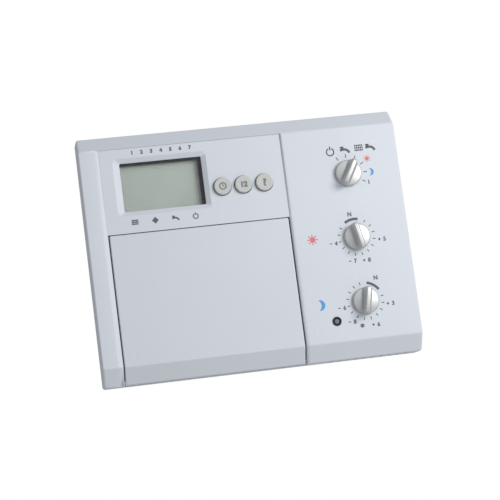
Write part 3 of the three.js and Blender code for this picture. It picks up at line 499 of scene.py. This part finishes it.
def solid_of(node, name, factor=(1, 1, 1), about=(0, 0, 0)):
    """A copy of a CAD node as one closed mesh, scaled about a point."""
    bm = bmesh.new()
    bm.from_mesh(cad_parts[node].data)
    bmesh.ops.remove_doubles(bm, verts=bm.verts, dist=1e-6)
    bmesh.ops.dissolve_limit(bm, angle_limit=math.radians(0.2), verts=bm.verts, edges=bm.edges)
    spread = Matrix.Diagonal(Vector((*factor, 1)))
    bm.transform(Matrix.Translation(about) @ spread @ Matrix.Translation(-Vector(about)))
    return new_object(name, bm)


def smooth(piece, sharp_degrees=35, merge_degrees=0.4):
    """Joins flat regions into single faces and shades the rounded ones as curves."""
    bm = bmesh.new()
    bm.from_mesh(piece.data)
    bmesh.ops.remove_doubles(bm, verts=bm.verts, dist=2e-6)
    bmesh.ops.dissolve_limit(bm, angle_limit=math.radians(merge_degrees), verts=bm.verts, edges=bm.edges)
    bm.to_mesh(piece.data)
    bm.free()
    piece.data.shade_smooth()
    piece.data.set_sharp_from_angle(angle=math.radians(sharp_degrees))
    weighted = piece.modifiers.new("flat faces lead the shading", "WEIGHTED_NORMAL")
    weighted.keep_sharp = True
    weighted.weight = 90


def dress(piece, material, body):
    """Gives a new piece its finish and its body."""
    piece.data.materials.clear()
    piece.data.materials.append(material)
    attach(piece, body)
    return piece


# ------------------------------------------------------------------ cover

EDGE_ROUND = 0.7 * MM
CORNER_ROUND = 1.3 * MM
KNEE_ROUND = 1.6 * MM
STRIP_CHAMFER = 2.2 * MM
PANEL_ROUND = 1.8 * MM
FIELD_STEP = FIELD - FRONT
PAST_CORNER = 9 * MM  # the line of a flank runs on this far over the front
FLAP_PLAY = 0.6 * MM  # between the flap and the edge of the field on each side
FLAP_EDGE = 0.6 * MM
FLAP_CORNER = 0.7 * MM
PINS_DEEP = 2.75 * MM  # from the back of the flap to the front of its hinge pins
PIN_REACH = 4 * MM  # the pins stay whole within this distance past the flap's sides
FLAP_MARK = (-59.4 * MM, -45.05 * MM)  # ejector marks, in X and Z
PANEL_MARK = (26 * MM, -43.15 * MM)


def cover_form():
    """The outside of the casing with its edges rounded."""
    back = COVER_HIGH.y + 2 * MM
    front = FRONT + SKIN
    top = filleted(
        [
            (back, COVER_HIGH.z - SKIN),
            (FRONT + TOP_BEVEL_RUN, COVER_HIGH.z - SKIN),
            (front, FACE_TOP - SKIN),
            (front, 0),
        ],
        [KNEE_ROUND, KNEE_ROUND],
    )
    bottom = filleted(
        [
            (back, COVER_LOW.z + SKIN),
            (FRONT + BOTTOM_BEVEL_RUN, COVER_LOW.z + SKIN),
            (front, FACE_BOTTOM + SKIN),
            (front, 0),
        ],
        [KNEE_ROUND, KNEE_ROUND],
    )
    side = filleted([(back, SKIN), (front, SKIN), (front, PAST_CORNER)], [EDGE_ROUND])
    return moulded_form(
        "cover_form", top[:-1], bottom[:-1], side[:-1], COVER_LOW.x, COVER_HIGH.x, CORNER_ROUND
    )


def field_recess():
    """What lies in front of the middle field: a soft chamfer at the strip, a round at the knob panel."""
    floor = FIELD_STEP + SKIN
    spare = 0.1 * MM
    strip = filleted(
        [
            (FIELD_LEFT - STRIP_CHAMFER - spare, -1 * MM),
            (FIELD_LEFT - STRIP_CHAMFER - spare, 0),
            (FIELD_LEFT - spare, floor),
            (FIELD_RIGHT, floor),
        ],
        [0, 0.4 * MM],
        steps=4,
    )[:-1]
    panel = []
    for i in range(13):
        angle = math.pi / 2 * i / 12
        panel.append(
            (
                FIELD_RIGHT + (PANEL_ROUND + spare) * (1 - math.cos(angle)),
                floor * (1 - math.sin(angle)),
            )
        )
    panel.append((FIELD_RIGHT + PANEL_ROUND + spare, -1 * MM))
    section = [tuple(p) for p in strip] + panel
    knee = filleted(
        [
            (FRONT, FACE_TOP),
            (FRONT, FACE_BOTTOM),
            (FRONT + 2 * BOTTOM_BEVEL_RUN, FACE_BOTTOM - 2 * BOTTOM_BEVEL_RISE),
        ],
        [KNEE_ROUND],
        steps=8,
    )
    slope = Vector((BOTTOM_BEVEL_RISE, BOTTOM_BEVEL_RUN)).normalized()
    rings = []
    for i, point in enumerate(knee):
        share = 0 if i == 0 else 1 if i == len(knee) - 1 else (i - 1) / (len(knee) - 3)
        inward = Vector((1, 0)).slerp(slope, share)
        rings.append([(x, *(point + inward * depth)) for x, depth in section])
    return loft("field_recess", rings)


def window_cut():
    """The sloping frame round the display, with its rims taken off."""
    rim = 2.2 * MM
    left_share = 1.45  # the left side slopes more gently than the others
    depth = 1.4 * MM
    level = FIELD + SKIN
    line = filleted(
        [(8 * MM, 0), (rim + 0.05 * MM, 0), (0.05 * MM, depth + 0.02 * MM), (0.05 * MM, 3 * MM)],
        [0.7 * MM, 0.3 * MM],
    )[1:]
    line.insert(0, Vector((line[0][0], -0.4 * MM)))
    rings = []
    for grow, deep in line:
        outline = rounded_rect(
            OPENING_LOW.x - grow * left_share,
            OPENING_HIGH.x + grow,
            OPENING_LOW.z - grow,
            OPENING_HIGH.z + grow,
            0.5 * MM + grow,
        )
        rings.append([(x, level + deep, z) for x, z in outline])
    return loft("window_cut", rings)


def round_mouth(axis, radius, level, mouth=0.12 * MM, depth=3 * MM):
    """A round hole with a softened rim."""
    line = filleted([(radius + 2 * MM, 0), (radius, 0), (radius, depth)], [mouth], steps=4)[1:]
    profile = [(line[0][0], level - 0.4 * MM)] + [(p[0], level + p[1]) for p in line]
    return lathe("round_mouth", axis, profile)


def dimple(x, z, level, radius=1.2 * MM, depth=0.12 * MM):
    """A shallow round mark that an ejector pin leaves."""
    ball = (radius**2 + depth**2) / (2 * depth)
    centre = Vector((x, 0, z))
    profile = []
    for i in range(1, 7):
        r = radius * 1.4 * i / 6
        profile.append((r, level + depth - (ball - math.sqrt(ball**2 - r**2))))
    return lathe("dimple", centre, profile[::-1], steps=32)


def build_cover():
    skin = solid_of("front_cover", "cover_skin")
    boolean(skin, cover_form(), "INTERSECT")
    boolean(skin, field_recess(), "DIFFERENCE")
    boolean(skin, window_cut(), "DIFFERENCE")
    for i in range(BUTTONS):
        middle = middle_of(f"button_{i + 1}")
        boolean(skin, round_mouth(middle, BUTTON_MOUTH, FIELD + SKIN), "DIFFERENCE")
    boolean(skin, dimple(*PANEL_MARK, FRONT + SKIN, depth=0.06 * MM), "DIFFERENCE")
    smooth(skin)
    dress(skin, COVER_ABS, "casing")
    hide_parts("front_cover")
    return skin


def build_flap():
    back = FLAP_HIGH.y + 2 * MM
    front = FIELD + SKIN
    pins_from = FLAP_HIGH.y - PINS_DEEP
    top = filleted([(back, FLAP_HIGH.z - SKIN), (front, FLAP_HIGH.z - SKIN), (front, 0)], [FLAP_EDGE])
    bottom = filleted(
        [
            (FIELD + 2 * BOTTOM_BEVEL_RUN, FACE_BOTTOM + SKIN - 2 * BOTTOM_BEVEL_RISE),
            (front, FACE_BOTTOM + SKIN),
            (front, 0),
        ],
        [KNEE_ROUND - FIELD_STEP],
    )
    side = filleted(
        [
            (back, -PIN_REACH),
            (pins_from, -PIN_REACH),
            (pins_from - 0.1 * MM, SKIN),
            (front, SKIN),
            (front, PAST_CORNER),
        ],
        [0, 0, FLAP_EDGE],
    )
    form = moulded_form(
        "flap_form",
        top[:-1],
        bottom[:-1],
        side[:-1],
        FIELD_LEFT + FLAP_PLAY,
        FIELD_RIGHT - FLAP_PLAY,
        FLAP_CORNER,
    )
    skin = solid_of("flap", "flap_skin")
    boolean(skin, form, "INTERSECT")
    boolean(skin, dimple(*FLAP_MARK, front), "DIFFERENCE")
    smooth(skin)
    dress(skin, FLAP_ABS, "flap")
    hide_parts("flap")
    return skin


# ------------------------------------------------------------------ knobs and buttons

KNOB_RIM = 1.75 * MM  # height of the scoops at the edge
KNOB_CROWN = 2.5 * MM  # height of the scoops near the axis
KNOB_EDGE = 0.45 * MM
BAR_TOP = 0.9 * MM  # half the width of the finger bar, at its top and at its foot
BAR_FOOT = 2.2 * MM
BAR_DROP = 0.8 * MM  # the bar's ends lie this much lower than its middle
BUTTON_EDGE = 0.42 * MM
BUTTON_FLANGE_FROM = 2.1 * MM  # behind the face of the field
BUTTON_FLANGE_THICK = 0.8 * MM
BUTTON_STEM = 2.2 * MM
DISH_SHARE = 0.78  # the dish spans this share of a button


def build_knob(i):
    """A selector knob: a round cap scooped out on both sides of a finger bar."""
    low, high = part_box(f"knob_{i}")
    axis = middle_of(f"knob_{i}")
    radius = (high.x - low.x) / 2 - SKIN
    back, height = high.y, high.y - low.y

    def ease(t):
        t = min(max(t, 0), 1)
        return t * t * (3 - 2 * t)

    def level(across, along):
        r = math.hypot(across, along)
        cone = KNOB_RIM + (KNOB_CROWN - KNOB_RIM) * (1 - (r / radius) ** 2)
        flank = ease((BAR_FOOT - abs(across)) / (BAR_FOOT - BAR_TOP))
        end = math.sqrt(max(1 - (along / radius) ** 2, 0))
        bar = height - BAR_DROP * (1 - end)
        h = cone + (bar - cone) * flank
        if r > radius - KNOB_EDGE:
            share = (r - (radius - KNOB_EDGE)) / KNOB_EDGE
            h -= KNOB_EDGE * (1 - math.sqrt(max(1 - min(share, 1) ** 2, 0)))
        return h

    columns = 56
    rows = 40
    across_at = []
    for c in range(columns + 1):
        t = -1 + 2 * c / columns
        across_at.append(radius * math.sin(math.pi / 2 * t))
    bm = bmesh.new()
    turn = math.radians(KNOB_ANGLES[i - 1])

    def place(across, along, h):
        x = axis.x + across * math.cos(turn) + along * math.sin(turn)
        z = axis.z - across * math.sin(turn) + along * math.cos(turn)
        return bm.verts.new((x, back - h, z))

    grid = []
    for across in across_at:
        half = math.sqrt(max(radius**2 - across**2, 0))
        if half < 1e-9:
            grid.append([place(across, 0, level(across, 0))])
            continue
        line = []
        for k in range(rows + 1):
            along = half * math.sin(math.pi / 2 * (-1 + 2 * k / rows))
            line.append(place(across, along, level(across, along)))
        grid.append(line)
    for a, b in zip(grid, grid[1:]):
        if len(a) == 1:
            for k in range(rows):
                bm.faces.new((a[0], b[k], b[k + 1]))
        elif len(b) == 1:
            for k in range(rows):
                bm.faces.new((a[k], b[0], a[k + 1]))
        else:
            for k in range(rows):
                bm.faces.new((a[k], b[k], b[k + 1], a[k + 1]))
    edge_loop = [e for e in bm.edges if e.is_boundary]
    made = bmesh.ops.extrude_edge_only(bm, edges=edge_loop)
    foot = [v for v in made["geom"] if isinstance(v, bmesh.types.BMVert)]
    for v in foot:
        v.co.y = back
    bmesh.ops.contextual_create(bm, geom=[e for e in bm.edges if e.is_boundary])
    knob = new_object(f"knob_cap_{i}", bm)
    shaft = solid_of(f"selector_shaft_{i}", "shaft_tool", (1.03, 1.01, 1.03), (axis.x, back, axis.z))
    boolean(knob, shaft, "DIFFERENCE")
    smooth(knob, sharp_degrees=50, merge_degrees=0.01)
    dress(knob, SILVER_LACQUER, f"selector_{i}")
    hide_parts(f"knob_{i}")


def build_button(i):
    """A button cap with a rounded rim and a slightly dished face, its flange and its stem."""
    low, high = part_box(f"button_{i}")
    axis = middle_of(f"button_{i}")
    flange = (high.x - low.x) / 2
    r = BUTTON_RADIUS
    face = low.y
    flange_front = FIELD + BUTTON_FLANGE_FROM
    flange_back = flange_front + BUTTON_FLANGE_THICK
    rim = filleted([(r * DISH_SHARE, face), (r, face), (r, flange_front)], [BUTTON_EDGE], steps=8)
    profile = [
        (r * s, face + BUTTON_DISH * (1 - (s / DISH_SHARE) ** 2)) for s in (0.02, 0.25, 0.5, 0.66)
    ]
    profile += [tuple(p) for p in rim]
    profile += [(flange, flange_front), (flange, flange_back)]
    profile += [(BUTTON_STEM, flange_back), (BUTTON_STEM, high.y)]
    cap = lathe(f"button_cap_{i}", axis, profile)
    smooth(cap, sharp_degrees=40, merge_degrees=0.01)
    dress(cap, BUTTON_ABS, f"button_{i}")
    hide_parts(f"button_{i}")


# ------------------------------------------------------------------ printed signs

INK = 0.03 * MM  # height of the ink over the surface that it is drawn on, thicker than a real film
INK_ROOT = 0.02 * MM  # how far it reaches into that surface
STROKE = 0.36 * MM
CAP_HEIGHT = 0.73  # a capital's height as a share of the lettering's size


class Print:
    """One ink on one body: flat signs at a given surface, gathered into one mesh."""

    def __init__(self, level):
        self.bm = bmesh.new()
        self.level = level

    def prism(self, outline):
        """A flat sign from its outline in X and Z."""
        front = [self.bm.verts.new((x, self.level - INK, z)) for x, z in outline]
        back = [self.bm.verts.new((x, self.level + INK_ROOT, z)) for x, z in outline]
        n = len(outline)
        self.bm.faces.new(front)
        self.bm.faces.new(back[::-1])
        for i in range(n):
            self.bm.faces.new((front[i], back[i], back[(i + 1) % n], front[(i + 1) % n]))

    def stroke(self, points, width=STROKE):
        """A line of even width through the points, as one outline."""
        points = [Vector(p) for p in points]
        left, right = [], []
        for i, p in enumerate(points):
            before = points[max(i - 1, 0)]
            after = points[min(i + 1, len(points) - 1)]
            along = (after - before).normalized()
            side = Vector((-along.y, along.x)) * width / 2
            left.append(p + side)
            right.append(p - side)
        self.prism([tuple(p) for p in left + right[::-1]])

    def arc(self, x, z, radius, start, end, width=STROKE, steps=24):
        """A stroke along a circle; angles are clockwise from straight up, in degrees."""
        n = max(3, round(steps * abs(end - start) / 360))
        self.stroke([around(x, z, radius, start + (end - start) * i / n) for i in range(n + 1)], width)

    def disc(self, x, z, radius, steps=28):
        self.prism([around(x, z, radius, 360 * i / steps) for i in range(steps)])

    def letters(self, text, x, z, height, weight=0.0):
        """Lettering centred on the point."""
        curve = bpy.data.curves.new("lettering", "FONT")
        curve.body = text
        curve.size = height / CAP_HEIGHT
        curve.align_x = "CENTER"
        curve.offset = weight
        curve.resolution_u = 3
        curve.extrude = (INK + INK_ROOT) / 2
        holder = bpy.data.objects.new("lettering", curve)
        bpy.context.scene.collection.objects.link(holder)
        made = holder.evaluated_get(bpy.context.evaluated_depsgraph_get())
        mesh = bpy.data.meshes.new_from_object(made)
        place = Vector((x, self.level - (INK - INK_ROOT) / 2, z - height / 2))
        mesh.transform(Matrix.Translation(place) @ Matrix.Rotation(math.pi / 2, 4, "X"))
        self.bm.from_mesh(mesh)
        bpy.data.objects.remove(holder)
        bpy.data.meshes.remove(mesh)

    def finish(self, name, material, body, slot):
        bmesh.ops.remove_doubles(self.bm, verts=self.bm.verts, dist=1e-7)
        return dress(new_object(name, self.bm), material, body)


def around(x, z, radius, degrees):
    """The point on a circle at an angle clockwise from straight up."""
    angle = math.radians(degrees)
    return (x + radius * math.sin(angle), z + radius * math.cos(angle))


def standby_sign(ink, x, z, size, width=STROKE):
    """A ring that is open at the top, with a short bar in the opening."""
    ink.arc(x, z, size, 24, 336, width)
    ink.stroke([(x, z + size * 0.5), (x, z + size * 1.5)], width)


def tap_sign(ink, x, z, size):
    """A water tap seen from the side: handle, body, and a spout that bends down."""
    body = [(-1.0, 0.0), (-0.35, 0.16), (0.25, 0.1), (0.72, -0.22), (0.95, -0.66)]
    ink.stroke([(x + a * size, z + b * size) for a, b in body], 0.52 * size)
    ink.stroke([(x - 0.58 * size, z + 0.2 * size), (x - 0.58 * size, z + 0.6 * size)], 0.34 * size)
    ink.stroke([(x - 1.0 * size, z + 0.62 * size), (x - 0.16 * size, z + 0.62 * size)], 0.3 * size)


def radiator_sign(ink, x, z, size, width=0.36 * MM):
    """Five ribs joined by three rails."""
    for i in range(5):
        dx = (i - 2) * size * 0.45
        ink.stroke([(x + dx, z - 0.8 * size), (x + dx, z + 0.8 * size)], width)
    for dz in (-0.6, 0, 0.6):
        ink.stroke([(x - size, z + dz * size), (x + size, z + dz * size)], width)


def sun_sign(ink, x, z, size):
    """A disc with eight rays."""
    ink.disc(x, z, 0.56 * size)
    for i in range(8):
        start = around(x, z, 0.66 * size, 45 * i)
        end = around(x, z, size, 45 * i)
        ink.stroke([start, end], 0.24 * size)


def moon_sign(ink, x, z, size):
    """A crescent that is open to the left."""
    middle = x - 0.3 * size
    outline = [around(middle, z, size, a) for a in range(-12, 193, 12)]
    horn = outline[0]
    bite = middle - 0.95 * size
    reach = math.hypot(horn[0] - bite, horn[1] - z)
    lean = math.degrees(math.atan2(horn[0] - bite, horn[1] - z))
    inner = [around(bite, z, reach, 180 - lean + (2 * lean - 180) * i / 14) for i in range(1, 14)]
    ink.prism(outline + inner)


def frost_sign(ink, x, z, size):
    """A crystal of three crossed strokes with a ring."""
    for i in range(3):
        ink.stroke([around(x, z, size, 60 * i), around(x, z, size, 60 * i + 180)], 0.28 * size)
    ink.arc(x, z, 0.6 * size, 0, 360, 0.22 * size)


def scale_marks(ink, x, z, angles, inner=7.7 * MM, outer=9.05 * MM):
    for angle in angles:
        ink.stroke([around(x, z, inner, angle), around(x, z, outer, angle)], 0.42 * MM)


def signed_number(ink, text, x, z, height=1.95 * MM):
    """A sign and a digit with space between them."""
    ink.letters(text[1], x + 1.2 * MM, z, height, weight=0.11 * MM)
    bar = 0.62 * MM
    left = x - 1.3 * MM
    ink.stroke([(left - bar, z), (left + bar, z)], 0.42 * MM)
    if text[0] == "+":
        ink.stroke([(left, z - bar), (left, z + bar)], 0.42 * MM)


def print_panel():
    """Scales and signs on the knob panel, placed about the selectors' axes."""
    level = FRONT + SKIN
    dark, red, blue = Print(level), Print(level), Print(level)
    axes = [middle_of(f"knob_{i}") for i in (1, 2, 3)]

    def at(axis, dx, dz):
        return axis.x + dx * MM, axis.z + dz * MM

    first, second, third = axes
    scale_marks(dark, first.x, first.z, range(-30, 121, 30), 7.5 * MM, 9.3 * MM)
    standby_sign(dark, *at(first, -7.1, 10.9), 1.75 * MM, 0.62 * MM)
    tap_sign(dark, *at(first, 0.0, 11.2), 2.25 * MM)
    radiator_sign(dark, *at(first, 6.8, 11.7), 1.95 * MM)
    tap_sign(dark, *at(first, 12.3, 11.4), 2.25 * MM)
    sun_sign(red, *at(first, 10.1, 6.2), 1.65 * MM)
    moon_sign(blue, *at(first, 11.3, -0.3), 1.75 * MM)
    dark.letters("1", *at(first, 9.5, -5.0), 2.0 * MM, 0.11 * MM)

    step = 22.5
    for axis, zero, marks in ((second, -11.25, range(-7, 9)), (third, 33.75, range(-8, 8))):
        angles = [zero + step * k for k in marks if k not in (-1, 0, 1)]
        scale_marks(dark, axis.x, axis.z, angles)
        dark.arc(axis.x, axis.z, 8.5 * MM, zero - step, zero + step, 1.25 * MM, steps=64)
    dark.letters("N", *at(second, -2.0, 11.0), 1.95 * MM, 0.12 * MM)
    dark.letters("N", *at(third, 6.3, 10.4), 1.95 * MM, 0.12 * MM)
    for text, axis, dx, dz in (
        ("-4", second, -11.3, -2.1),
        ("-7", second, -3.35, -11.1),
        ("+8", second, 3.4, -11.3),
        ("+5", second, 12.0, -2.2),
        ("+3", third, 11.8, -2.35),
        ("+6", third, 3.6, -11.4),
        ("-8", third, -7.4, -9.0),
        ("-6", third, -11.4, -2.1),
    ):
        signed_number(dark, text, *at(axis, dx, dz))
    frost_sign(dark, *at(third, -3.0, -11.3), 1.15 * MM)
    sun_sign(red, *at(second, -21.1, 0.7), 2.45 * MM)
    moon_sign(blue, *at(third, -20.9, 0.2), 2.5 * MM)

    dark.finish("panel_print_dark", DARK_INK, "casing", "cover_abs")
    red.finish("panel_print_red", RED_INK, "casing", "cover_abs")
    blue.finish("panel_print_blue", BLUE_INK, "casing", "cover_abs")


def print_display_frame():
    """Days of the week over the display and signs under it."""
    ink = Print(FIELD + SKIN)
    middle = (OPENING_LOW.x + OPENING_HIGH.x) / 2
    first = middle + 0.8 * MM - 3 * 4.5 * MM
    for day in range(7):
        ink.letters(str(day + 1), first + day * 4.5 * MM, 48.55 * MM, 1.7 * MM, 0.15 * MM)
    signs = [middle - 0.9 * MM + (k - 1.5) * 9.4 * MM for k in range(4)]
    z = 16.0 * MM
    radiator_sign(ink, signs[0], z, 1.5 * MM, 0.34 * MM)
    side = 1.6 * MM
    ink.prism([(signs[1], z + side), (signs[1] - side, z), (signs[1], z - side), (signs[1] + side, z)])
    tap_sign(ink, signs[2], z, 1.6 * MM)
    standby_sign(ink, signs[3], z, 1.15 * MM, 0.5 * MM)
    ink.finish("display_print", DARK_INK, "casing", "cover_abs")


def print_buttons():
    """A clock, a date and a question mark, one on each button."""
    for i in (1, 2, 3):
        middle = middle_of(f"button_{i}")
        ink = Print(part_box(f"button_{i}")[0].y + BUTTON_DISH - 0.02 * MM)
        x, z = middle.x, middle.z
        if i == 1:
            ink.arc(x, z, 1.5 * MM, 0, 360, 0.62 * MM)
            ink.stroke([(x, z + 0.95 * MM), (x, z), (x + 0.7 * MM, z)], 0.5 * MM)
        elif i == 2:
            ink.letters("12", x, z, 2.5 * MM, 0.24 * MM)
        else:
            ink.letters("?", x, z, 3.3 * MM, 0.28 * MM)
        ink.finish(f"button_print_{i}", GREY_INK, f"button_{i}", "button_abs")


def print_keys():
    """Signs on the keys behind the flap."""
    for i in range(1, KEYS + 1):
        middle = middle_of(f"bay_key_{i}")
        ink = Print(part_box(f"bay_key_{i}")[0].y)
        x, z = middle.x, middle.z
        arm = 1.5 * MM
        if i in (1, 2):
            ink.stroke([(x - arm, z), (x + arm, z)], 0.5 * MM)
        if i == 2:
            ink.stroke([(x, z - arm), (x, z - 0.25 * MM)], 0.5 * MM)
            ink.stroke([(x, z + 0.25 * MM), (x, z + arm)], 0.5 * MM)
        if i == 3:
            ink.letters("OK", x, z, 2.4 * MM, 0.05 * MM)
        if i in (4, 5):
            way = 1 if i == 5 else -1
            ink.prism([(x - way * arm, z + arm), (x - way * arm, z - arm), (x + way * arm, z)])
        if i == 6:
            ink.arc(x, z, 1.5 * MM, 60, 360, 0.45 * MM)
            foot, tip = x - 0.1 * MM, x + 1.2 * MM
            ink.prism([(foot, z + 2.3 * MM), (foot, z + 0.7 * MM), (tip, z + 1.5 * MM)])
        ink.finish(f"key_print_{i}", DARK_INK, f"bay_key_{i}", "key_abs")


# ------------------------------------------------------------------ finishes of the carried-over nodes

FINISHES = {
    "wall_base": BASE_ABS,
    "key_bay": BAY_ABS,
    "bay_key_mat": SILICONE,
    "display_lens": LENS_ACRYLIC,
    "display_gasket": RUBBER,
    "display_cell": CELL_GLASS,
    "display_holder": NYLON,
    "contact_strip": SILICONE,
    "button_mat": SILICONE,
    "selector_shaft": NYLON,
    "selector_housing": BLACK_PLASTIC,
    "lamp_bezel": BLACK_PLASTIC,
    "light_pipe": SMOKED_ACRYLIC,
    "lamp": NYLON,
    "circuit_board": LAMINATE,
    "board_screw": STEEL,
    "board_header": BLACK_PLASTIC,
    "controller_chip": BLACK_PLASTIC,
    "quartz_can": STEEL,
    "reserve_capacitor": BLACK_PLASTIC,
    "room_sensor": BLACK_PLASTIC,
    "terminal_block": TERMINAL_PLASTIC,
    "terminal_screw": BRASS,
    "base_socket": NYLON,
    "bay_key": KEY_ABS,
}


def finish_of(node):
    """The finish of the longest name that this node's name starts with."""
    names = [name for name in FINISHES if node.startswith(name)]
    return FINISHES[max(names, key=len)] if names else COVER_ABS


def soften(node, width):
    """Rounds a carried-over node's edges with modifiers; its own mesh stays as packed."""
    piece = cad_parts[node]
    weld = piece.modifiers.new("weld", "WELD")
    weld.merge_threshold = 1e-6
    flat = piece.modifiers.new("join flat faces", "DECIMATE")
    flat.decimate_type = "DISSOLVE"
    flat.angle_limit = math.radians(0.3)
    bevel = piece.modifiers.new("edges", "BEVEL")
    bevel.width = width
    bevel.segments = 3
    bevel.limit_method = "ANGLE"
    bevel.angle_limit = math.radians(40)
    bevel.use_clamp_overlap = True
    bevel.miter_outer = "MITER_ARC"
    weighted = piece.modifiers.new("flat faces lead the shading", "WEIGHTED_NORMAL")
    weighted.keep_sharp = False


def finish_nodes():
    for name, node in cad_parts.items():
        node.data.materials.clear()
        node.data.materials.append(finish_of(name))


# ------------------------------------------------------------------ studio


LAMPS = [
    # name, place in metres, size in metres, watts, tint
    ("key softbox", (0.34, -0.46, 0.14), 0.26, 1.8, "#FFFEFC"),
    ("front fill", (0.0, -1.1, 0.42), 0.9, 1.5, "#F8F9FF"),
]
FILL_TINT = "#F5F6FA"
FILL_STRENGTH = 0.44
LAMP_AIM = (0.02, -0.03, 0)  # the lamps point here
FLOOR_HALF = 1.2
FLOOR_LEVEL = -0.25
CAMERA_PLACE = (-0.12332, -0.74752, -0.09739)
CAMERA_TARGET = (-0.00116, -0.0240, -0.00255)
CAMERA_TILT = 7.37  # degrees
LENS = 115.2  # mm, over a sensor 36 mm wide
SENSOR = 36


def build_studio():
    """A white room: even light from all round, a softbox near on the right, and a weak one in front."""
    scene = bpy.context.scene
    scene.view_settings.view_transform = "Standard"
    world = bpy.data.worlds.new("studio")
    scene.world = world
    world.use_nodes = True
    tree = world.node_tree
    tree.nodes.clear()
    fill = add(tree, "ShaderNodeBackground", {"Color": colour(FILL_TINT), "Strength": FILL_STRENGTH})
    shown = add(tree, "ShaderNodeBackground", {"Color": colour("#FFFFFF"), "Strength": 1.0})
    path = add(tree, "ShaderNodeLightPath", {})
    mixed = add(
        tree,
        "ShaderNodeMixShader",
        {0: path.outputs["Is Camera Ray"], 1: fill.outputs[0], 2: shown.outputs[0]},
    )
    add(tree, "ShaderNodeOutputWorld", {"Surface": mixed.outputs[0]})

    for name, place, size, watts, tint in LAMPS:
        light = bpy.data.lights.new(name, "AREA")
        light.shape = "SQUARE"
        light.size = size
        light.energy = watts
        light.color = colour(tint)[:3]
        holder = bpy.data.objects.new(name, light)
        holder.location = place
        aim = Vector(LAMP_AIM) - holder.location
        holder.rotation_euler = aim.to_track_quat("-Z", "Y").to_euler()
        scene.collection.objects.link(holder)

    bm = bmesh.new()
    corners = [(-1, -1), (1, -1), (1, 1), (-1, 1)]
    bm.faces.new([bm.verts.new((x * FLOOR_HALF, y * FLOOR_HALF, FLOOR_LEVEL)) for x, y in corners])
    floor = new_object("floor", bm)
    floor.data.materials.append(
        moulded_plastic("matt white studio floor", "#F1F1F0", "#ECECEB", 0.7, 3.0, 0.05, cloud_mm=400)
    )


def build_camera():
    """The camera stands low and to the left of the thermostat, tilted so that it appears turned."""
    lens = bpy.data.cameras.new("camera")
    lens.lens = LENS
    lens.sensor_width = SENSOR
    camera = bpy.data.objects.new("camera", lens)
    place = Vector(CAMERA_PLACE)
    target = Vector(CAMERA_TARGET)
    tilt = math.radians(CAMERA_TILT)
    ahead = (target - place).normalized()
    level = ahead.cross(Vector((0, 0, 1))).normalized()
    up = level.cross(ahead)
    right = level * math.cos(tilt) - up * math.sin(tilt)
    up = right.cross(ahead)
    turn = Matrix((right, up, -ahead)).transposed()
    camera.matrix_world = Matrix.Translation(place) @ turn.to_4x4()
    bpy.context.scene.collection.objects.link(camera)
    bpy.context.scene.camera = camera


build_cover()
build_flap()
for number in (1, 2, 3):
    build_knob(number)
    build_button(number)
finish_nodes()
soften("wall_base", 0.4 * MM)
print_panel()
print_display_frame()
print_buttons()
print_keys()
build_studio()
build_camera()
